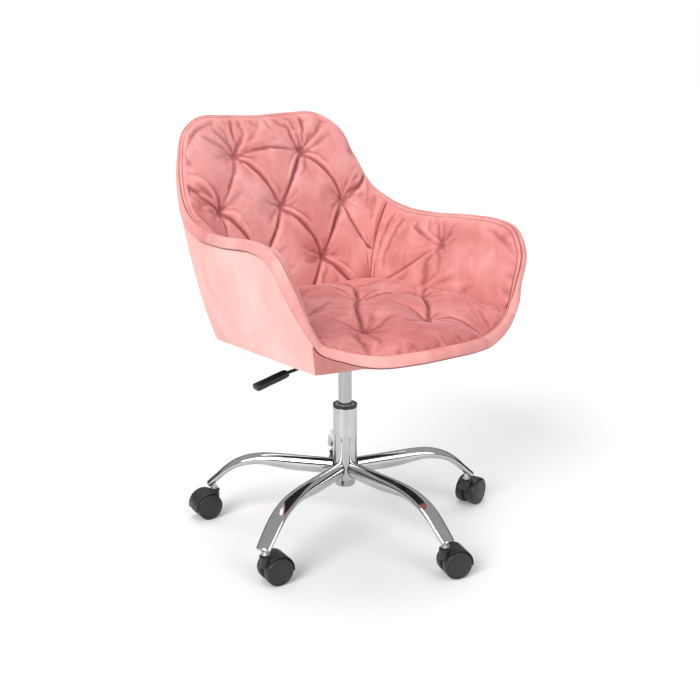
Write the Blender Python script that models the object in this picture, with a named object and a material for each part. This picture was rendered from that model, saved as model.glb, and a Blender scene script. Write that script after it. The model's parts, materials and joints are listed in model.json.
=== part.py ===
"""Upholstered styling chair on a five-leg caster base: a height-adjustable, swivelling bucket seat.

Metres, +Z up. The seat faces -Y and +X is the sitter's left. The floor is at z = 0, and the origin is
under the middle of the whole chair's bounding box. Everything is modelled round the column's axis, and
the empty "chair" carries it to its place.
"""

import math

import bmesh
import bpy
import numpy as np
from mathutils import Matrix, Vector

GAP = 0.0003  # between pieces that touch
COLUMN_XY = (-0.0272, -0.0014)  # the column's axis, which puts the origin at the middle of the chair

# Base
LEG_COUNT = 5
FIRST_LEG_DEG = -156.6
STEM_CIRCLE_R = 0.293
HUB_R, HUB_BORE_R = 0.02525, 0.0225
HUB_BOTTOM, HUB_TOP = 0.1155, 0.2725
COLLAR_TOP = 0.2785
# distance from the column, height, width, depth
LEG_STATIONS = (
    (0.0258, 0.1380, 0.028, 0.034),
    (0.0700, 0.1375, 0.028, 0.035),
    (0.1200, 0.1380, 0.029, 0.034),
    (0.1550, 0.1398, 0.030, 0.030),
    (0.1850, 0.1400, 0.032, 0.025),
    (0.2150, 0.1345, 0.034, 0.022),
    (0.2420, 0.1235, 0.035, 0.019),
    (0.2630, 0.1090, 0.035, 0.017),
    (0.2810, 0.0925, 0.034, 0.016),
    (0.3010, 0.0735, 0.032, 0.016),
)

# Gas lift
TUBE_R, TUBE_BORE_R = 0.0219, 0.0200
TUBE_BOTTOM, TUBE_TOP = 0.1005, 0.2750
PISTON_ROD_R = 0.0050
CYLINDER_R, CYLINDER_BORE_R = 0.0140, 0.0112
CYLINDER_BOTTOM, TAPER_BOTTOM, CYLINDER_TOP = 0.2050, 0.3580, 0.3770
TAPER = 0.075  # metres of radius lost for each metre of height
VALVE_PIN_R, VALVE_PIN_BOTTOM, VALVE_PIN_TOP = 0.0035, 0.3705, 0.3805
TUBE_FLOOR, TUBE_FLOOR_BORE_R = 0.003, 0.0060
BUSH_BOTTOM, BUSH_FLANGE = 0.2100, 0.0022
BEARING_R, BEARING_HEIGHT = 0.0130, 0.0040
ROD_SHOULDER_R, ROD_SHOULDER_HEIGHT, ROD_NECK_R = 0.0120, 0.0025, 0.0040
PISTON_R, PISTON_BOTTOM, PISTON_TOP = 0.0108, 0.2220, 0.2360
CLIP_R, CLIP_THICK = 0.0095, 0.0017

# Casters: the stem is at the local origin and the wheels trail along local +X
WHEEL_R, WHEEL_SIDES, WHEEL_HALF = 0.0289, 16, 0.00925
WHEEL_OUT = 0.01525  # from the caster's middle to a wheel's middle
AXLE_R, AXLE_HALF = 0.0030, 0.0190
TRAIL = 0.020
FORK_HALF = 0.0052
HOOD_R, HOOD_INNER_R, HOOD_HALF = 0.0322, 0.0297, 0.0215
HOOD_BOTTOM, HOOD_TOP = 0.036, 0.0595
BOSS_R, STEM_BORE_R = 0.0110, 0.0034
HOOD_START_DEG, HOOD_END_DEG = -8, 128
# radius, height along the wheel's axis
WHEEL_PROFILE = (
    (0.0000, 0.0078),
    (0.0190, 0.0078),
    (0.0225, WHEEL_HALF),
    (0.0270, WHEEL_HALF),
    (WHEEL_R, 0.0075),
    (WHEEL_R, -0.0080),
    (0.0270, -WHEEL_HALF),
    (AXLE_R + 0.0004, -WHEEL_HALF),
    (AXLE_R + 0.0004, 0.0045),
    (0.0000, 0.0045),
)
# radius, height over the floor
STEM_PROFILE = (
    (0.0000, 0.0375),
    (0.0029, 0.0375),
    (0.0029, 0.0598),
    (0.0048, 0.0598),
    (0.0048, 0.0625),
    (0.0085, 0.0628),
    (0.0085, 0.0648),
    (0.0050, 0.0652),
    (0.0050, 0.0790),
    (0.0000, 0.0790),
)
CASTER_HEADINGS_DEG = (-4.6, -15.7, 18.0, -17.1, 177.2)

# Seat mechanism
SEAT_SLOPE = 0.0641  # the seat's underside drops this much for each metre towards the back
UNDERSIDE_AT_COLUMN = 0.4211
PLATE_HALF_X, PLATE_HALF_Y, PLATE_THICK = 0.085, 0.080, 0.003
CHANNEL_HALF_X, CHANNEL_HALF_Y, CHANNEL_BOTTOM, CHANNEL_WALL = 0.055, 0.031, 0.369, 0.003
SOCKET_BOTTOM, SOCKET_R, SOCKET_LOWER_R = 0.360, 0.0235, 0.0200
BOLT_X, BOLT_Y, BOLT_R, BOLT_LENGTH = 0.070, 0.062, 0.0030, 0.0120
BOLT_HEAD_R, BOLT_HEAD_HEIGHT = 0.0065, 0.0040
LEVER_PIVOT = (-0.020, 0.0, 0.3850)
LEVER_R = 0.0035
LEVER_TAB_BACK, LEVER_TAB_FRONT, LEVER_TAB_HALF, LEVER_TAB_THICK = 0.004, 0.022, 0.006, 0.004
LEVER_ROUTE = ((-0.020, 0.3850), (-0.060, 0.3812), (-0.107, 0.3740), (-0.160, 0.3660))
PADDLE_START, PADDLE_END = (-0.1400, 0.3690), (-0.2130, 0.3520)
PADDLE_CORNER = 0.0025
# share of the paddle's length, half width, half height
PADDLE_STATIONS = (
    (0.00, 0.0075, 0.0050),
    (0.06, 0.0090, 0.0068),
    (0.25, 0.0095, 0.0070),
    (0.90, 0.0095, 0.0058),
    (1.00, 0.0080, 0.0042),
)

# Bucket: the seam between the inner pads and the rim roll, from the front corner to the back's middle.
# x, y, z, the direction across the wall's thickness in degrees from +X, and the roll's relative size
RIM_KNOTS = (
    (0.2300, -0.2285, 0.5030, -80, 0.80),
    (0.2393, -0.2270, 0.5335, -45, 0.75),
    (0.2600, -0.2160, 0.6030, -8, 1.00),
    (0.2640, -0.1900, 0.6370, 0, 1.00),
    (0.2570, -0.1450, 0.6490, 0, 1.00),
    (0.2484, -0.0994, 0.6501, 0, 1.00),
    (0.2438, 0.0377, 0.6411, 2, 1.00),
    (0.2405, 0.1100, 0.6425, 10, 1.00),
    (0.2362, 0.1680, 0.6560, 28, 0.95),
    (0.2300, 0.2137, 0.6800, 50, 0.85),
    (0.2100, 0.2730, 0.7650, 75, 0.70),
    (0.1850, 0.2980, 0.8180, 84, 0.65),
    (0.1450, 0.3140, 0.8410, 88, 0.65),
    (0.0800, 0.3210, 0.8425, 89, 0.65),
    (0.0000, 0.3220, 0.8395, 90, 0.65),
)
SIDE_KNOTS = 9  # the first nine knots carry the arm, and the rest the back
LIP_KNOTS = (
    (0.0000, -0.3110, 0.4695, -90, 1.00),
    (0.0700, -0.2980, 0.4655, -85, 1.00),
    (0.1370, -0.2700, 0.4640, -80, 1.00),
    (0.1860, -0.2500, 0.4760, -78, 0.90),
    (0.2230, -0.2310, 0.4930, -78, 0.80),
)
# The rim roll's section, across the wall and out of its edge
ROLL_SECTION = (
    (0.0000, 0.0000),
    (0.0030, 0.0040),
    (0.0100, 0.0060),
    (0.0180, 0.0045),
    (0.0235, -0.0015),
    (0.0240, -0.0100),
    (0.0120, -0.0105),
    (0.0010, -0.0035),
)
OUTER_SEAM = (0.0236, -0.0148)
FRONT_CORNER, BACK_CORNER = (0.225, -0.225), (0.203, 0.165)
FRONT_BOW, BACK_BOW = 0.033, 0.015
SKIN = 0.003
SIDE_BULGE, BACK_BULGE = 0.008, 0.016
SWELL_RISE = 5.0  # how fast the arm covers' swell grows from their front edge, per share of their length
CUSHION_FRONT_HALF, CUSHION_BACK_HALF = 0.2120, 0.1740
CUSHION_CROWN, CUSHION_BACK_EDGE = 0.030, 0.484
PAD_BOTTOM = 0.4530
PAD_CORNER_Y, PAD_CORNER_DEPTH = 0.1560, 0.0085
PAD_BOW = 0.011
PAD_FRONT_INSET, PAD_BACK_INSET = 0.0055, 0.0120
ARM_PAD_BULGE, BACK_PAD_BULGE = 0.014, 0.022
BOARD_THICK, COVER_THICK = 0.012, 0.001
FRAME_R = 0.0037


def clear_scene():
    for obj in list(bpy.data.objects):
        bpy.data.objects.remove(obj)


def material(name, colour, roughness, metallic=0.0):
    made = bpy.data.materials.new(name)
    made.use_nodes = True
    shader = made.node_tree.nodes["Principled BSDF"]
    shader.inputs["Base Color"].default_value = (*colour, 1.0)
    shader.inputs["Roughness"].default_value = roughness
    shader.inputs["Metallic"].default_value = metallic
    return made


def empty(name, location, parent=None, turn_deg=0.0):
    made = bpy.data.objects.new(name, None)
    made.location = location
    made.rotation_euler.z = math.radians(turn_deg)
    made.parent = parent
    bpy.context.scene.collection.objects.link(made)
    return made


def place(name, mesh, look, parent, location=(0, 0, 0), rotation=(0, 0, 0)):
    obj = bpy.data.objects.new(name, mesh)
    obj.location = location
    obj.rotation_euler = rotation
    obj.parent = parent
    if look:
        mesh.materials.clear()
        mesh.materials.append(look)
    bpy.context.scene.collection.objects.link(obj)
    return obj


def mesh_of(name, bm, sharp_deg=40):
    bmesh.ops.remove_doubles(bm, verts=bm.verts, dist=1e-6)
    bmesh.ops.recalc_face_normals(bm, faces=bm.faces)
    mesh = bpy.data.meshes.new(name)
    bm.to_mesh(mesh)
    bm.free()
    mesh.shade_smooth()
    mesh.set_sharp_from_angle(angle=math.radians(sharp_deg))
    return mesh


def turned(name, profile, sides=22):
    """A solid turned round Z from (radius, height) points that form a closed outline."""
    bm = bmesh.new()
    verts = [bm.verts.new((radius, 0, height)) for radius, height in profile]
    edges = [bm.edges.new((a, b)) for a, b in zip(verts, verts[1:] + verts[:1]) if a.co.x or b.co.x]
    bmesh.ops.spin(
        bm, geom=verts + edges, cent=(0, 0, 0), axis=(0, 0, 1), angle=2 * math.pi, steps=sides, use_merge=True
    )
    return mesh_of(name, bm)


def lofted(name, sections, sharp_deg=40):
    """A tube through rings of points, closed by a face at each end."""
    bm = bmesh.new()
    rings = [[bm.verts.new(point) for point in section] for section in sections]
    count = len(rings[0])
    for near, far in zip(rings, rings[1:]):
        for i in range(count):
            bm.faces.new((near[i], near[(i + 1) % count], far[(i + 1) % count], far[i]))
    bm.faces.new(rings[0])
    bm.faces.new(rings[-1])
    return mesh_of(name, bm, sharp_deg)


def slab(name, front, back, sharp_deg=50):
    """A solid between two grids of points of the same shape."""
    bm = bmesh.new()
    grids = [[[bm.verts.new(point) for point in row] for row in grid] for grid in (front, back)]
    rows, columns = len(front), len(front[0])
    for grid in grids:
        for i in range(rows - 1):
            for j in range(columns - 1):
                bm.faces.new((grid[i][j], grid[i + 1][j], grid[i + 1][j + 1], grid[i][j + 1]))
    border = [(i, 0) for i in range(rows)]
    border += [(rows - 1, j) for j in range(1, columns)]
    border += [(i, columns - 1) for i in range(rows - 2, -1, -1)]
    border += [(0, j) for j in range(columns - 2, 0, -1)]
    first, second = grids
    for (i, j), (k, m) in zip(border, border[1:] + border[:1]):
        bm.faces.new((first[i][j], first[k][m], second[k][m], second[i][j]))
    return mesh_of(name, bm, sharp_deg)


def block(name, low, high, top=None):
    """A box from its lowest to its highest corner. top, where given, is a height for each y."""
    bm = bmesh.new()
    bmesh.ops.create_cube(bm, size=1)
    for vert in bm.verts:
        upper = vert.co.z > 0
        vert.co = [low[k] if vert.co[k] < 0 else high[k] for k in range(3)]
        if top and upper:
            vert.co.z = top(vert.co.y)
    return mesh_of(name, bm)


def rod(name, start, end, radius, sides=14):
    """A round bar between two points."""
    start, end = Vector(start), Vector(end)
    bm = bmesh.new()
    bmesh.ops.create_cone(
        bm, cap_ends=True, segments=sides, radius1=radius, radius2=radius, depth=(end - start).length
    )
    turn = (end - start).to_track_quat("Z", "Y").to_matrix().to_4x4()
    bmesh.ops.transform(bm, matrix=Matrix.Translation((start + end) / 2) @ turn, verts=bm.verts)
    return mesh_of(name, bm)


def cut(obj, mesh, operation="DIFFERENCE", rotation=(0, 0, 0), location=(0, 0, 0)):
    """Adds a Boolean to obj with a hidden tool made from mesh, in obj's own space."""
    tool = place(obj.name + "_tool", mesh, None, obj, location, rotation)
    tool.hide_render = True
    tool.display_type = "WIRE"
    modifier = obj.modifiers.new("Boolean", "BOOLEAN")
    modifier.operation = operation
    modifier.object = tool
    return obj


def smooth(knots, count, start=0.0, end=1.0):
    """Rows evenly spread along a smooth curve through the knots, measured by their first three columns."""
    knots = np.array(knots, dtype=float)
    steps = np.linalg.norm(np.diff(knots[:, :3], axis=0), axis=1)
    at = np.concatenate([[0.0], np.cumsum(steps)])
    slopes = np.gradient(knots, at, axis=0)
    wanted = np.linspace(start * at[-1], end * at[-1], count)
    i = np.clip(np.searchsorted(at, wanted, side="right") - 1, 0, len(at) - 2)
    span = (at[i + 1] - at[i])[:, None]
    t = (wanted - at[i])[:, None] / span
    rise, fall = t * t * (3 - 2 * t), 1 - t * t * (3 - 2 * t)
    return (
        fall * knots[i]
        + rise * knots[i + 1]
        + span * (t * (1 - t) ** 2 * slopes[i] - t * t * (1 - t) * slopes[i + 1])
    )


def with_directions(knots):
    """Each knot as x, y, z, the direction across the wall as a vector, and the roll's size."""
    return [
        (x, y, z, math.cos(math.radians(turn)), math.sin(math.radians(turn)), size)
        for x, y, z, turn, size in knots
    ]


def mirrored(rows):
    return [(-x, y, z, -across_x, across_y, size) for x, y, z, across_x, across_y, size in rows]


def frames(rows):
    """Points, directions across the wall, directions out of its edge, and sizes, along a rim curve."""
    points = rows[:, :3]
    along = np.gradient(points, axis=0)
    along /= np.linalg.norm(along, axis=1)[:, None]
    across = np.column_stack([rows[:, 3], rows[:, 4], np.zeros(len(rows))])
    across -= along * (across * along).sum(axis=1)[:, None]
    across /= np.linalg.norm(across, axis=1)[:, None]
    return points, across, np.cross(across, along), rows[:, 5][:, None]


def rim_points(rows, across_by, out_by):
    points, across, out, size = frames(rows)
    return points + size * (across_by * across + out_by * out)


def roll(name, rows):
    sections = [rim_points(rows, *corner) for corner in ROLL_SECTION]
    return lofted(name, np.stack(sections, axis=1), 60)


def underside(y):
    return UNDERSIDE_AT_COLUMN - SEAT_SLOPE * y


def flat(rows):
    """The horizontal unit vector across the wall at each row."""
    across = np.column_stack([rows[:, 3], rows[:, 4], np.zeros(len(rows))])
    return across / np.linalg.norm(across, axis=1)[:, None]


def side_flat(rows):
    """As flat, but facing sideways near the front corner too, where the roll turns to the front."""
    across = flat(rows)
    across[across[:, 1] < 0] = (1.0, 0.0, 0.0)
    return across


def wall_grid(bottom, top, across, bulge, levels):
    """Points from a bottom line to a top line, swelling across the wall in between."""
    levels = levels[None, :, None]
    swell = np.reshape(bulge, (-1, 1, 1)) * 4 * levels * (1 - levels) * across[:, None]
    return (1 - levels) * bottom[:, None] + levels * top[:, None] + swell


def side_rows(count, start=0.0):
    return smooth(with_directions(RIM_KNOTS)[:SIDE_KNOTS], count, start, 0.999)


def back_rows(count):
    half = with_directions(RIM_KNOTS)[SIDE_KNOTS - 1 :]
    return smooth(half + mirrored(half)[-2::-1], count, 0.001, 0.999)


def lip_rows(count):
    half = with_directions(LIP_KNOTS)
    return smooth(mirrored(half)[::-1] + half[1:], count)


def side_share(rows):
    """How far along the arm each row is, from 0 at the front corner to 1 at the back corner."""
    first, last = RIM_KNOTS[0][1], RIM_KNOTS[SIDE_KNOTS - 1][1]
    return np.clip((rows[:, 1] - first) / (last - first), 0.0, 1.0)


def back_share(rows):
    """Where each row is across the back, from 1 at the left corner through 0 to -1 at the right."""
    return rows[:, 0] / RIM_KNOTS[SIDE_KNOTS - 1][0]


def back_swell(rows, at_corner, at_middle):
    return at_corner + (at_middle - at_corner) * (1 - back_share(rows) ** 2)


def outline_half(y):
    """Half the width of the underside at each y."""
    share = (y - FRONT_CORNER[1]) / (BACK_CORNER[1] - FRONT_CORNER[1])
    return FRONT_CORNER[0] + np.clip(share, 0, 1) * (BACK_CORNER[0] - FRONT_CORNER[0])


def side_bottom(rows):
    y = FRONT_CORNER[1] + side_share(rows) * (BACK_CORNER[1] - FRONT_CORNER[1])
    return np.column_stack([outline_half(y), y, underside(y)])


def back_bottom(rows):
    u = back_share(rows)
    y = BACK_CORNER[1] + BACK_BOW * (1 - u * u)
    return np.column_stack([u * BACK_CORNER[0], y, underside(y)])


def front_bottom(rows):
    u = rows[:, 0] / LIP_KNOTS[-1][0]
    y = FRONT_CORNER[1] - FRONT_BOW * (1 - u * u)
    return np.column_stack([u * (FRONT_CORNER[0] - SKIN - 2 * GAP), y, underside(y)])


def cushion_half(y):
    share = (y - FRONT_CORNER[1]) / (BACK_CORNER[1] - FRONT_CORNER[1])
    return CUSHION_FRONT_HALF + np.clip(share, 0, 1) * (CUSHION_BACK_HALF - CUSHION_FRONT_HALF)


def turned_side(grid):
    return grid * np.array([-1.0, 1.0, 1.0])


def leg_mesh():
    """One leg along +X: a round tube at the hub that flattens towards its drooping end."""
    rows = smooth(LEG_STATIONS, 12)
    heading = np.gradient(rows[:, :2], axis=0)
    heading /= np.linalg.norm(heading, axis=1)[:, None]
    turns = np.linspace(0, 2 * math.pi, 12, endpoint=False)
    sections = []
    for (r, z, width, depth), (dr, dz) in zip(rows, heading):
        side = np.sign(np.cos(turns)) * np.abs(np.cos(turns)) ** 0.85 * width / 2
        up = np.sign(np.sin(turns)) * np.abs(np.sin(turns)) ** 0.85 * depth / 2
        sections.append(np.column_stack([r - dz * up, side, z + dr * up]))
    sections[0][:, 0] = LEG_STATIONS[0][0]
    return lofted("base_leg", sections, 60)


def make_base(chair, looks):
    hub = [(HUB_BORE_R, HUB_BOTTOM), (HUB_R, HUB_BOTTOM), (HUB_R, HUB_TOP), (HUB_BORE_R, HUB_TOP)]
    place("base_hub_tube", turned("base_hub_tube", hub, 22), looks["chrome"], chair)
    leg = leg_mesh()
    stem_hole = rod("stem_hole", (STEM_CIRCLE_R, 0, 0.04), (STEM_CIRCLE_R, 0, 0.0800), 0.0053)
    for i in range(LEG_COUNT):
        turn = math.radians(FIRST_LEG_DEG + i * 360 / LEG_COUNT)
        obj = place(f"base_leg_{i + 1}", leg, looks["chrome"], chair, rotation=(0, 0, turn))
        cut(obj, stem_hole)


def make_lift(chair, looks):
    """The gas lift's fixed tube, its bush and bearing, then the rod that turns in it."""
    floor = TUBE_BOTTOM + TUBE_FLOOR
    tube = [
        (TUBE_FLOOR_BORE_R, TUBE_BOTTOM),
        (TUBE_R - 0.0015, TUBE_BOTTOM),
        (TUBE_R, floor),
        (TUBE_R, TUBE_TOP),
        (TUBE_BORE_R, TUBE_TOP),
        (TUBE_BORE_R, floor),
        (TUBE_FLOOR_BORE_R, floor),
    ]
    place("lift_outer_tube", turned("lift_outer_tube", tube), looks["steel"], chair)
    bush = [
        (CYLINDER_R + GAP, BUSH_BOTTOM),
        (TUBE_BORE_R - GAP, BUSH_BOTTOM),
        (TUBE_BORE_R - GAP, TUBE_TOP + GAP),
        (TUBE_R, TUBE_TOP + GAP),
        (TUBE_R, TUBE_TOP + BUSH_FLANGE),
        (CYLINDER_R + GAP, TUBE_TOP + BUSH_FLANGE),
    ]
    place("lift_guide_bush", turned("lift_guide_bush", bush), looks["bush"], chair)
    collar = [
        (TUBE_R + GAP, HUB_TOP + GAP),
        (HUB_R, HUB_TOP + GAP),
        (HUB_R, COLLAR_TOP - 0.001),
        (HUB_R - 0.001, COLLAR_TOP),
        (TUBE_R + GAP, COLLAR_TOP),
    ]
    place("hub_collar", turned("hub_collar", collar, 22), looks["plastic"], chair)
    race = floor + BEARING_HEIGHT
    bearing = [(PISTON_ROD_R + GAP, floor + GAP), (BEARING_R, floor + GAP), (BEARING_R, race)]
    bearing.append((PISTON_ROD_R + GAP, race))
    place("thrust_bearing", turned("thrust_bearing", bearing, 16), looks["steel"], chair)
    rod_profile = [
        (0, TUBE_BOTTOM - 0.004),
        (ROD_NECK_R, TUBE_BOTTOM - 0.004),
        (ROD_NECK_R, TUBE_BOTTOM - 0.0005),
        (PISTON_ROD_R, TUBE_BOTTOM + 0.0005),
        (PISTON_ROD_R, race + GAP),
        (ROD_SHOULDER_R, race + GAP),
        (ROD_SHOULDER_R, race + GAP + ROD_SHOULDER_HEIGHT),
        (PISTON_ROD_R, race + GAP + ROD_SHOULDER_HEIGHT),
        (PISTON_ROD_R, PISTON_BOTTOM),
        (PISTON_R, PISTON_BOTTOM),
        (PISTON_R, PISTON_TOP),
        (0, PISTON_TOP),
    ]
    place("piston_rod", turned("piston_rod", rod_profile, 14), looks["steel"], chair)
    clip_top = TUBE_BOTTOM - GAP - 0.0005
    clip = [
        (ROD_NECK_R + GAP, clip_top - CLIP_THICK),
        (CLIP_R, clip_top - CLIP_THICK),
        (CLIP_R, clip_top),
        (ROD_NECK_R + GAP, clip_top),
    ]
    place("retaining_clip", turned("retaining_clip", clip, 14), looks["steel"], chair)


def taper_r(height):
    return CYLINDER_R - max(0.0, height - TAPER_BOTTOM) * TAPER


def make_cylinder(chair, looks):
    """The lift's pressure cylinder, which the seat stands on, and the pin that opens its valve."""
    cylinder = [
        (PISTON_ROD_R + GAP, CYLINDER_BOTTOM),
        (CYLINDER_R, CYLINDER_BOTTOM),
        (CYLINDER_R, TAPER_BOTTOM),
        (taper_r(CYLINDER_TOP), CYLINDER_TOP),
        (VALVE_PIN_R + GAP, CYLINDER_TOP),
        (VALVE_PIN_R + GAP, 0.3665),
        (0, 0.3665),
        (0, 0.3600),
        (CYLINDER_BORE_R, 0.3500),
        (CYLINDER_BORE_R, CYLINDER_BOTTOM + 0.006),
        (PISTON_ROD_R + GAP, CYLINDER_BOTTOM + 0.006),
    ]
    place("pressure_cylinder", turned("pressure_cylinder", cylinder, 24), looks["steel"], chair)
    pin = [
        (0, VALVE_PIN_BOTTOM),
        (VALVE_PIN_R, VALVE_PIN_BOTTOM),
        (VALVE_PIN_R, VALVE_PIN_TOP),
        (0, VALVE_PIN_TOP),
    ]
    place("valve_pin", turned("valve_pin", pin, 16), looks["steel"], chair)


def arc(radius, start_deg, end_deg, count):
    """Points of an arc round the wheels' axis, in the caster's XZ plane."""
    turns = np.radians(np.linspace(start_deg, end_deg, count))
    return [(TRAIL + radius * math.cos(a), 0, axle_height() + radius * math.sin(a)) for a in turns]


def axle_height():
    """The wheels are polygons that stand on a flat side."""
    return WHEEL_R * math.cos(math.pi / WHEEL_SIDES)


def hood_mesh():
    """Twin-wheel caster body: a fender over both wheels, a web between them and a boss for the stem."""
    outline = arc(HOOD_R, HOOD_START_DEG, HOOD_END_DEG, 9)
    outline += arc(HOOD_INNER_R - 0.004, HOOD_END_DEG, HOOD_START_DEG, 7)
    sides = (-HOOD_HALF, HOOD_HALF)
    fender = lofted("fender", [[(x, side, z) for x, _, z in outline] for side in sides])
    hood = place("hood", fender, None, None)
    cut(hood, rod("boss", (0, 0, HOOD_BOTTOM), (0, 0, HOOD_TOP), BOSS_R, 14), "UNION")
    axle = axle_height()
    cut(hood, rod("wheel_space", (TRAIL, -0.04, axle), (TRAIL, 0.04, axle), HOOD_INNER_R, 24))
    outline = arc(0.0300, HOOD_START_DEG, HOOD_END_DEG, 9) + arc(0.0240, 150, 330, 9)
    web = lofted("web", [[(x, y, z) for x, _, z in outline] for y in (-FORK_HALF, FORK_HALF)])
    cut(hood, web, "UNION")
    cut(hood, rod("stem_bore", (0, 0, HOOD_BOTTOM + 0.0005), (0, 0, 0.08), STEM_BORE_R, 10))
    cut(hood, rod("axle_bore", (TRAIL, -0.04, axle), (TRAIL, 0.04, axle), AXLE_R + GAP, 10))
    bpy.context.view_layer.update()
    done = bpy.data.meshes.new_from_object(hood.evaluated_get(bpy.context.evaluated_depsgraph_get()))
    for obj in [*hood.children, hood]:
        bpy.data.objects.remove(obj)
    done.set_sharp_from_angle(angle=math.radians(40))
    return done


def wheel_mesh():
    mesh = turned("wheel", WHEEL_PROFILE, WHEEL_SIDES)
    mesh.transform(Matrix.Rotation(math.pi / WHEEL_SIDES, 4, "Z"))
    return mesh


def make_casters(chair, looks):
    hood, wheel, stem = hood_mesh(), wheel_mesh(), turned("stem", STEM_PROFILE, 12)
    axle = rod("axle", (0, -AXLE_HALF, 0), (0, AXLE_HALF, 0), AXLE_R, 10)
    for i, heading in enumerate(CASTER_HEADINGS_DEG):
        turn = math.radians(FIRST_LEG_DEG + i * 360 / LEG_COUNT)
        stem_at = (STEM_CIRCLE_R * math.cos(turn), STEM_CIRCLE_R * math.sin(turn), 0)
        caster = empty(f"caster_{i + 1}", stem_at, chair, heading)
        place(f"caster_stem_{i + 1}", stem, looks["zinc"], caster)
        place(f"caster_hood_{i + 1}", hood, looks["plastic"], caster)
        hub_at = (TRAIL, 0, axle_height())
        place(f"caster_axle_{i + 1}", axle, looks["zinc"], caster, hub_at)
        for name, side in (("left", 1), ("right", -1)):
            at = (TRAIL, side * WHEEL_OUT, axle_height())
            turn_out = (-side * math.pi / 2, 0, 0)
            place(f"caster_wheel_{i + 1}_{name}", wheel, looks["plastic"], caster, at, turn_out)


def make_plate(chair, looks):
    """Pressed-steel seat plate with a channel below it that holds the lever."""
    tilt = (-math.atan(SEAT_SLOPE), 0, 0)
    at = (0, 0, underside(0) - GAP)
    low, high = (-PLATE_HALF_X, -PLATE_HALF_Y, -PLATE_THICK), (PLATE_HALF_X, PLATE_HALF_Y, 0)
    mesh = block("seat_plate", low, high)
    mesh.transform(Matrix.Translation(at) @ Matrix.Rotation(tilt[0], 4, "X"))
    plate = place("seat_plate", mesh, looks["black_steel"], chair)
    low, high = (-CHANNEL_HALF_X, -CHANNEL_HALF_Y, CHANNEL_BOTTOM), (CHANNEL_HALF_X, CHANNEL_HALF_Y, 0)
    cut(plate, block("channel", low, high, lambda y: underside(y) - PLATE_THICK / 2), "UNION")
    inner = CHANNEL_HALF_Y - CHANNEL_WALL
    low, high = (-0.07, -inner, CHANNEL_BOTTOM + CHANNEL_WALL), (0.07, inner, 0)
    cut(plate, block("inside", low, high, lambda y: underside(y) - PLATE_THICK - 2 * GAP))
    cut(plate, rod("socket_hole", (0, 0, 0.36), (0, 0, 0.375), taper_r(CHANNEL_BOTTOM) + GAP))
    x, _, z = LEVER_PIVOT
    cut(plate, rod("pivot_hole", (x, -0.04, z), (x, 0.04, z), LEVER_R + GAP))
    for place_xy in bolt_places():
        hole = rod("bolt_hole", (0, 0, -0.01), (0, 0, 0.01), BOLT_R + GAP, 10)
        cut(plate, hole, rotation=tilt, location=(*place_xy, underside(place_xy[1])))
    top = CHANNEL_BOTTOM - GAP
    boss = [
        (taper_r(SOCKET_BOTTOM) + GAP, SOCKET_BOTTOM),
        (SOCKET_LOWER_R, SOCKET_BOTTOM),
        (SOCKET_R, top - 0.002),
        (SOCKET_R, top),
        (taper_r(top) + GAP, top),
    ]
    place("plate_socket", turned("plate_socket", boss), looks["black_steel"], chair)


def bolt_places():
    return [(x, y) for x in (-BOLT_X, BOLT_X) for y in (-BOLT_Y, BOLT_Y)]


def make_bolts(chair, looks):
    """Four hexagon-head bolts, up through the plate into the seat board."""
    under = -(PLATE_THICK + 2 * GAP)
    head = rod("bolt", (0, 0, under - BOLT_HEAD_HEIGHT), (0, 0, under), BOLT_HEAD_R, 6)
    for i, (x, y) in enumerate(bolt_places()):
        at = (x, y, underside(y))
        bolt = place(f"seat_bolt_{i + 1}", head, looks["zinc"], chair, at, (-math.atan(SEAT_SLOPE), 0, 0))
        cut(bolt, rod("shank", (0, 0, under - 0.001), (0, 0, BOLT_LENGTH - 0.002), BOLT_R, 10), "UNION")


def lever_mesh(route):
    """The bent rod along its route, from the pivot outwards."""
    rows = smooth([(x, 0, z) for x, z in route], 8)
    turns = np.linspace(0, 2 * math.pi, 10, endpoint=False)
    heading = np.gradient(rows, axis=0)
    heading /= np.linalg.norm(heading, axis=1)[:, None]
    side, up = LEVER_R * np.cos(turns), LEVER_R * np.sin(turns)
    sections = [
        np.column_stack([x - dz * up, side, z + dx * up]) for (x, _, z), (dx, _, dz) in zip(rows, heading)
    ]
    return lofted("lever_rod", sections)


def paddle_mesh(start, end):
    """An eight-sided grip from one point to another."""
    along = (end - start).normalized()
    up = Vector((along.z, 0, -along.x))
    sections = []
    for share, wide, high in PADDLE_STATIONS:
        outline = [
            (wide - PADDLE_CORNER, high),
            (wide, high - PADDLE_CORNER),
            (wide, PADDLE_CORNER - high),
            (wide - PADDLE_CORNER, -high),
        ]
        outline += [(-w, h) for w, h in reversed(outline)]
        sections.append([start.lerp(end, share) + Vector((0, w, 0)) + up * h for w, h in outline])
    return lofted("lever_paddle", sections)


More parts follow.
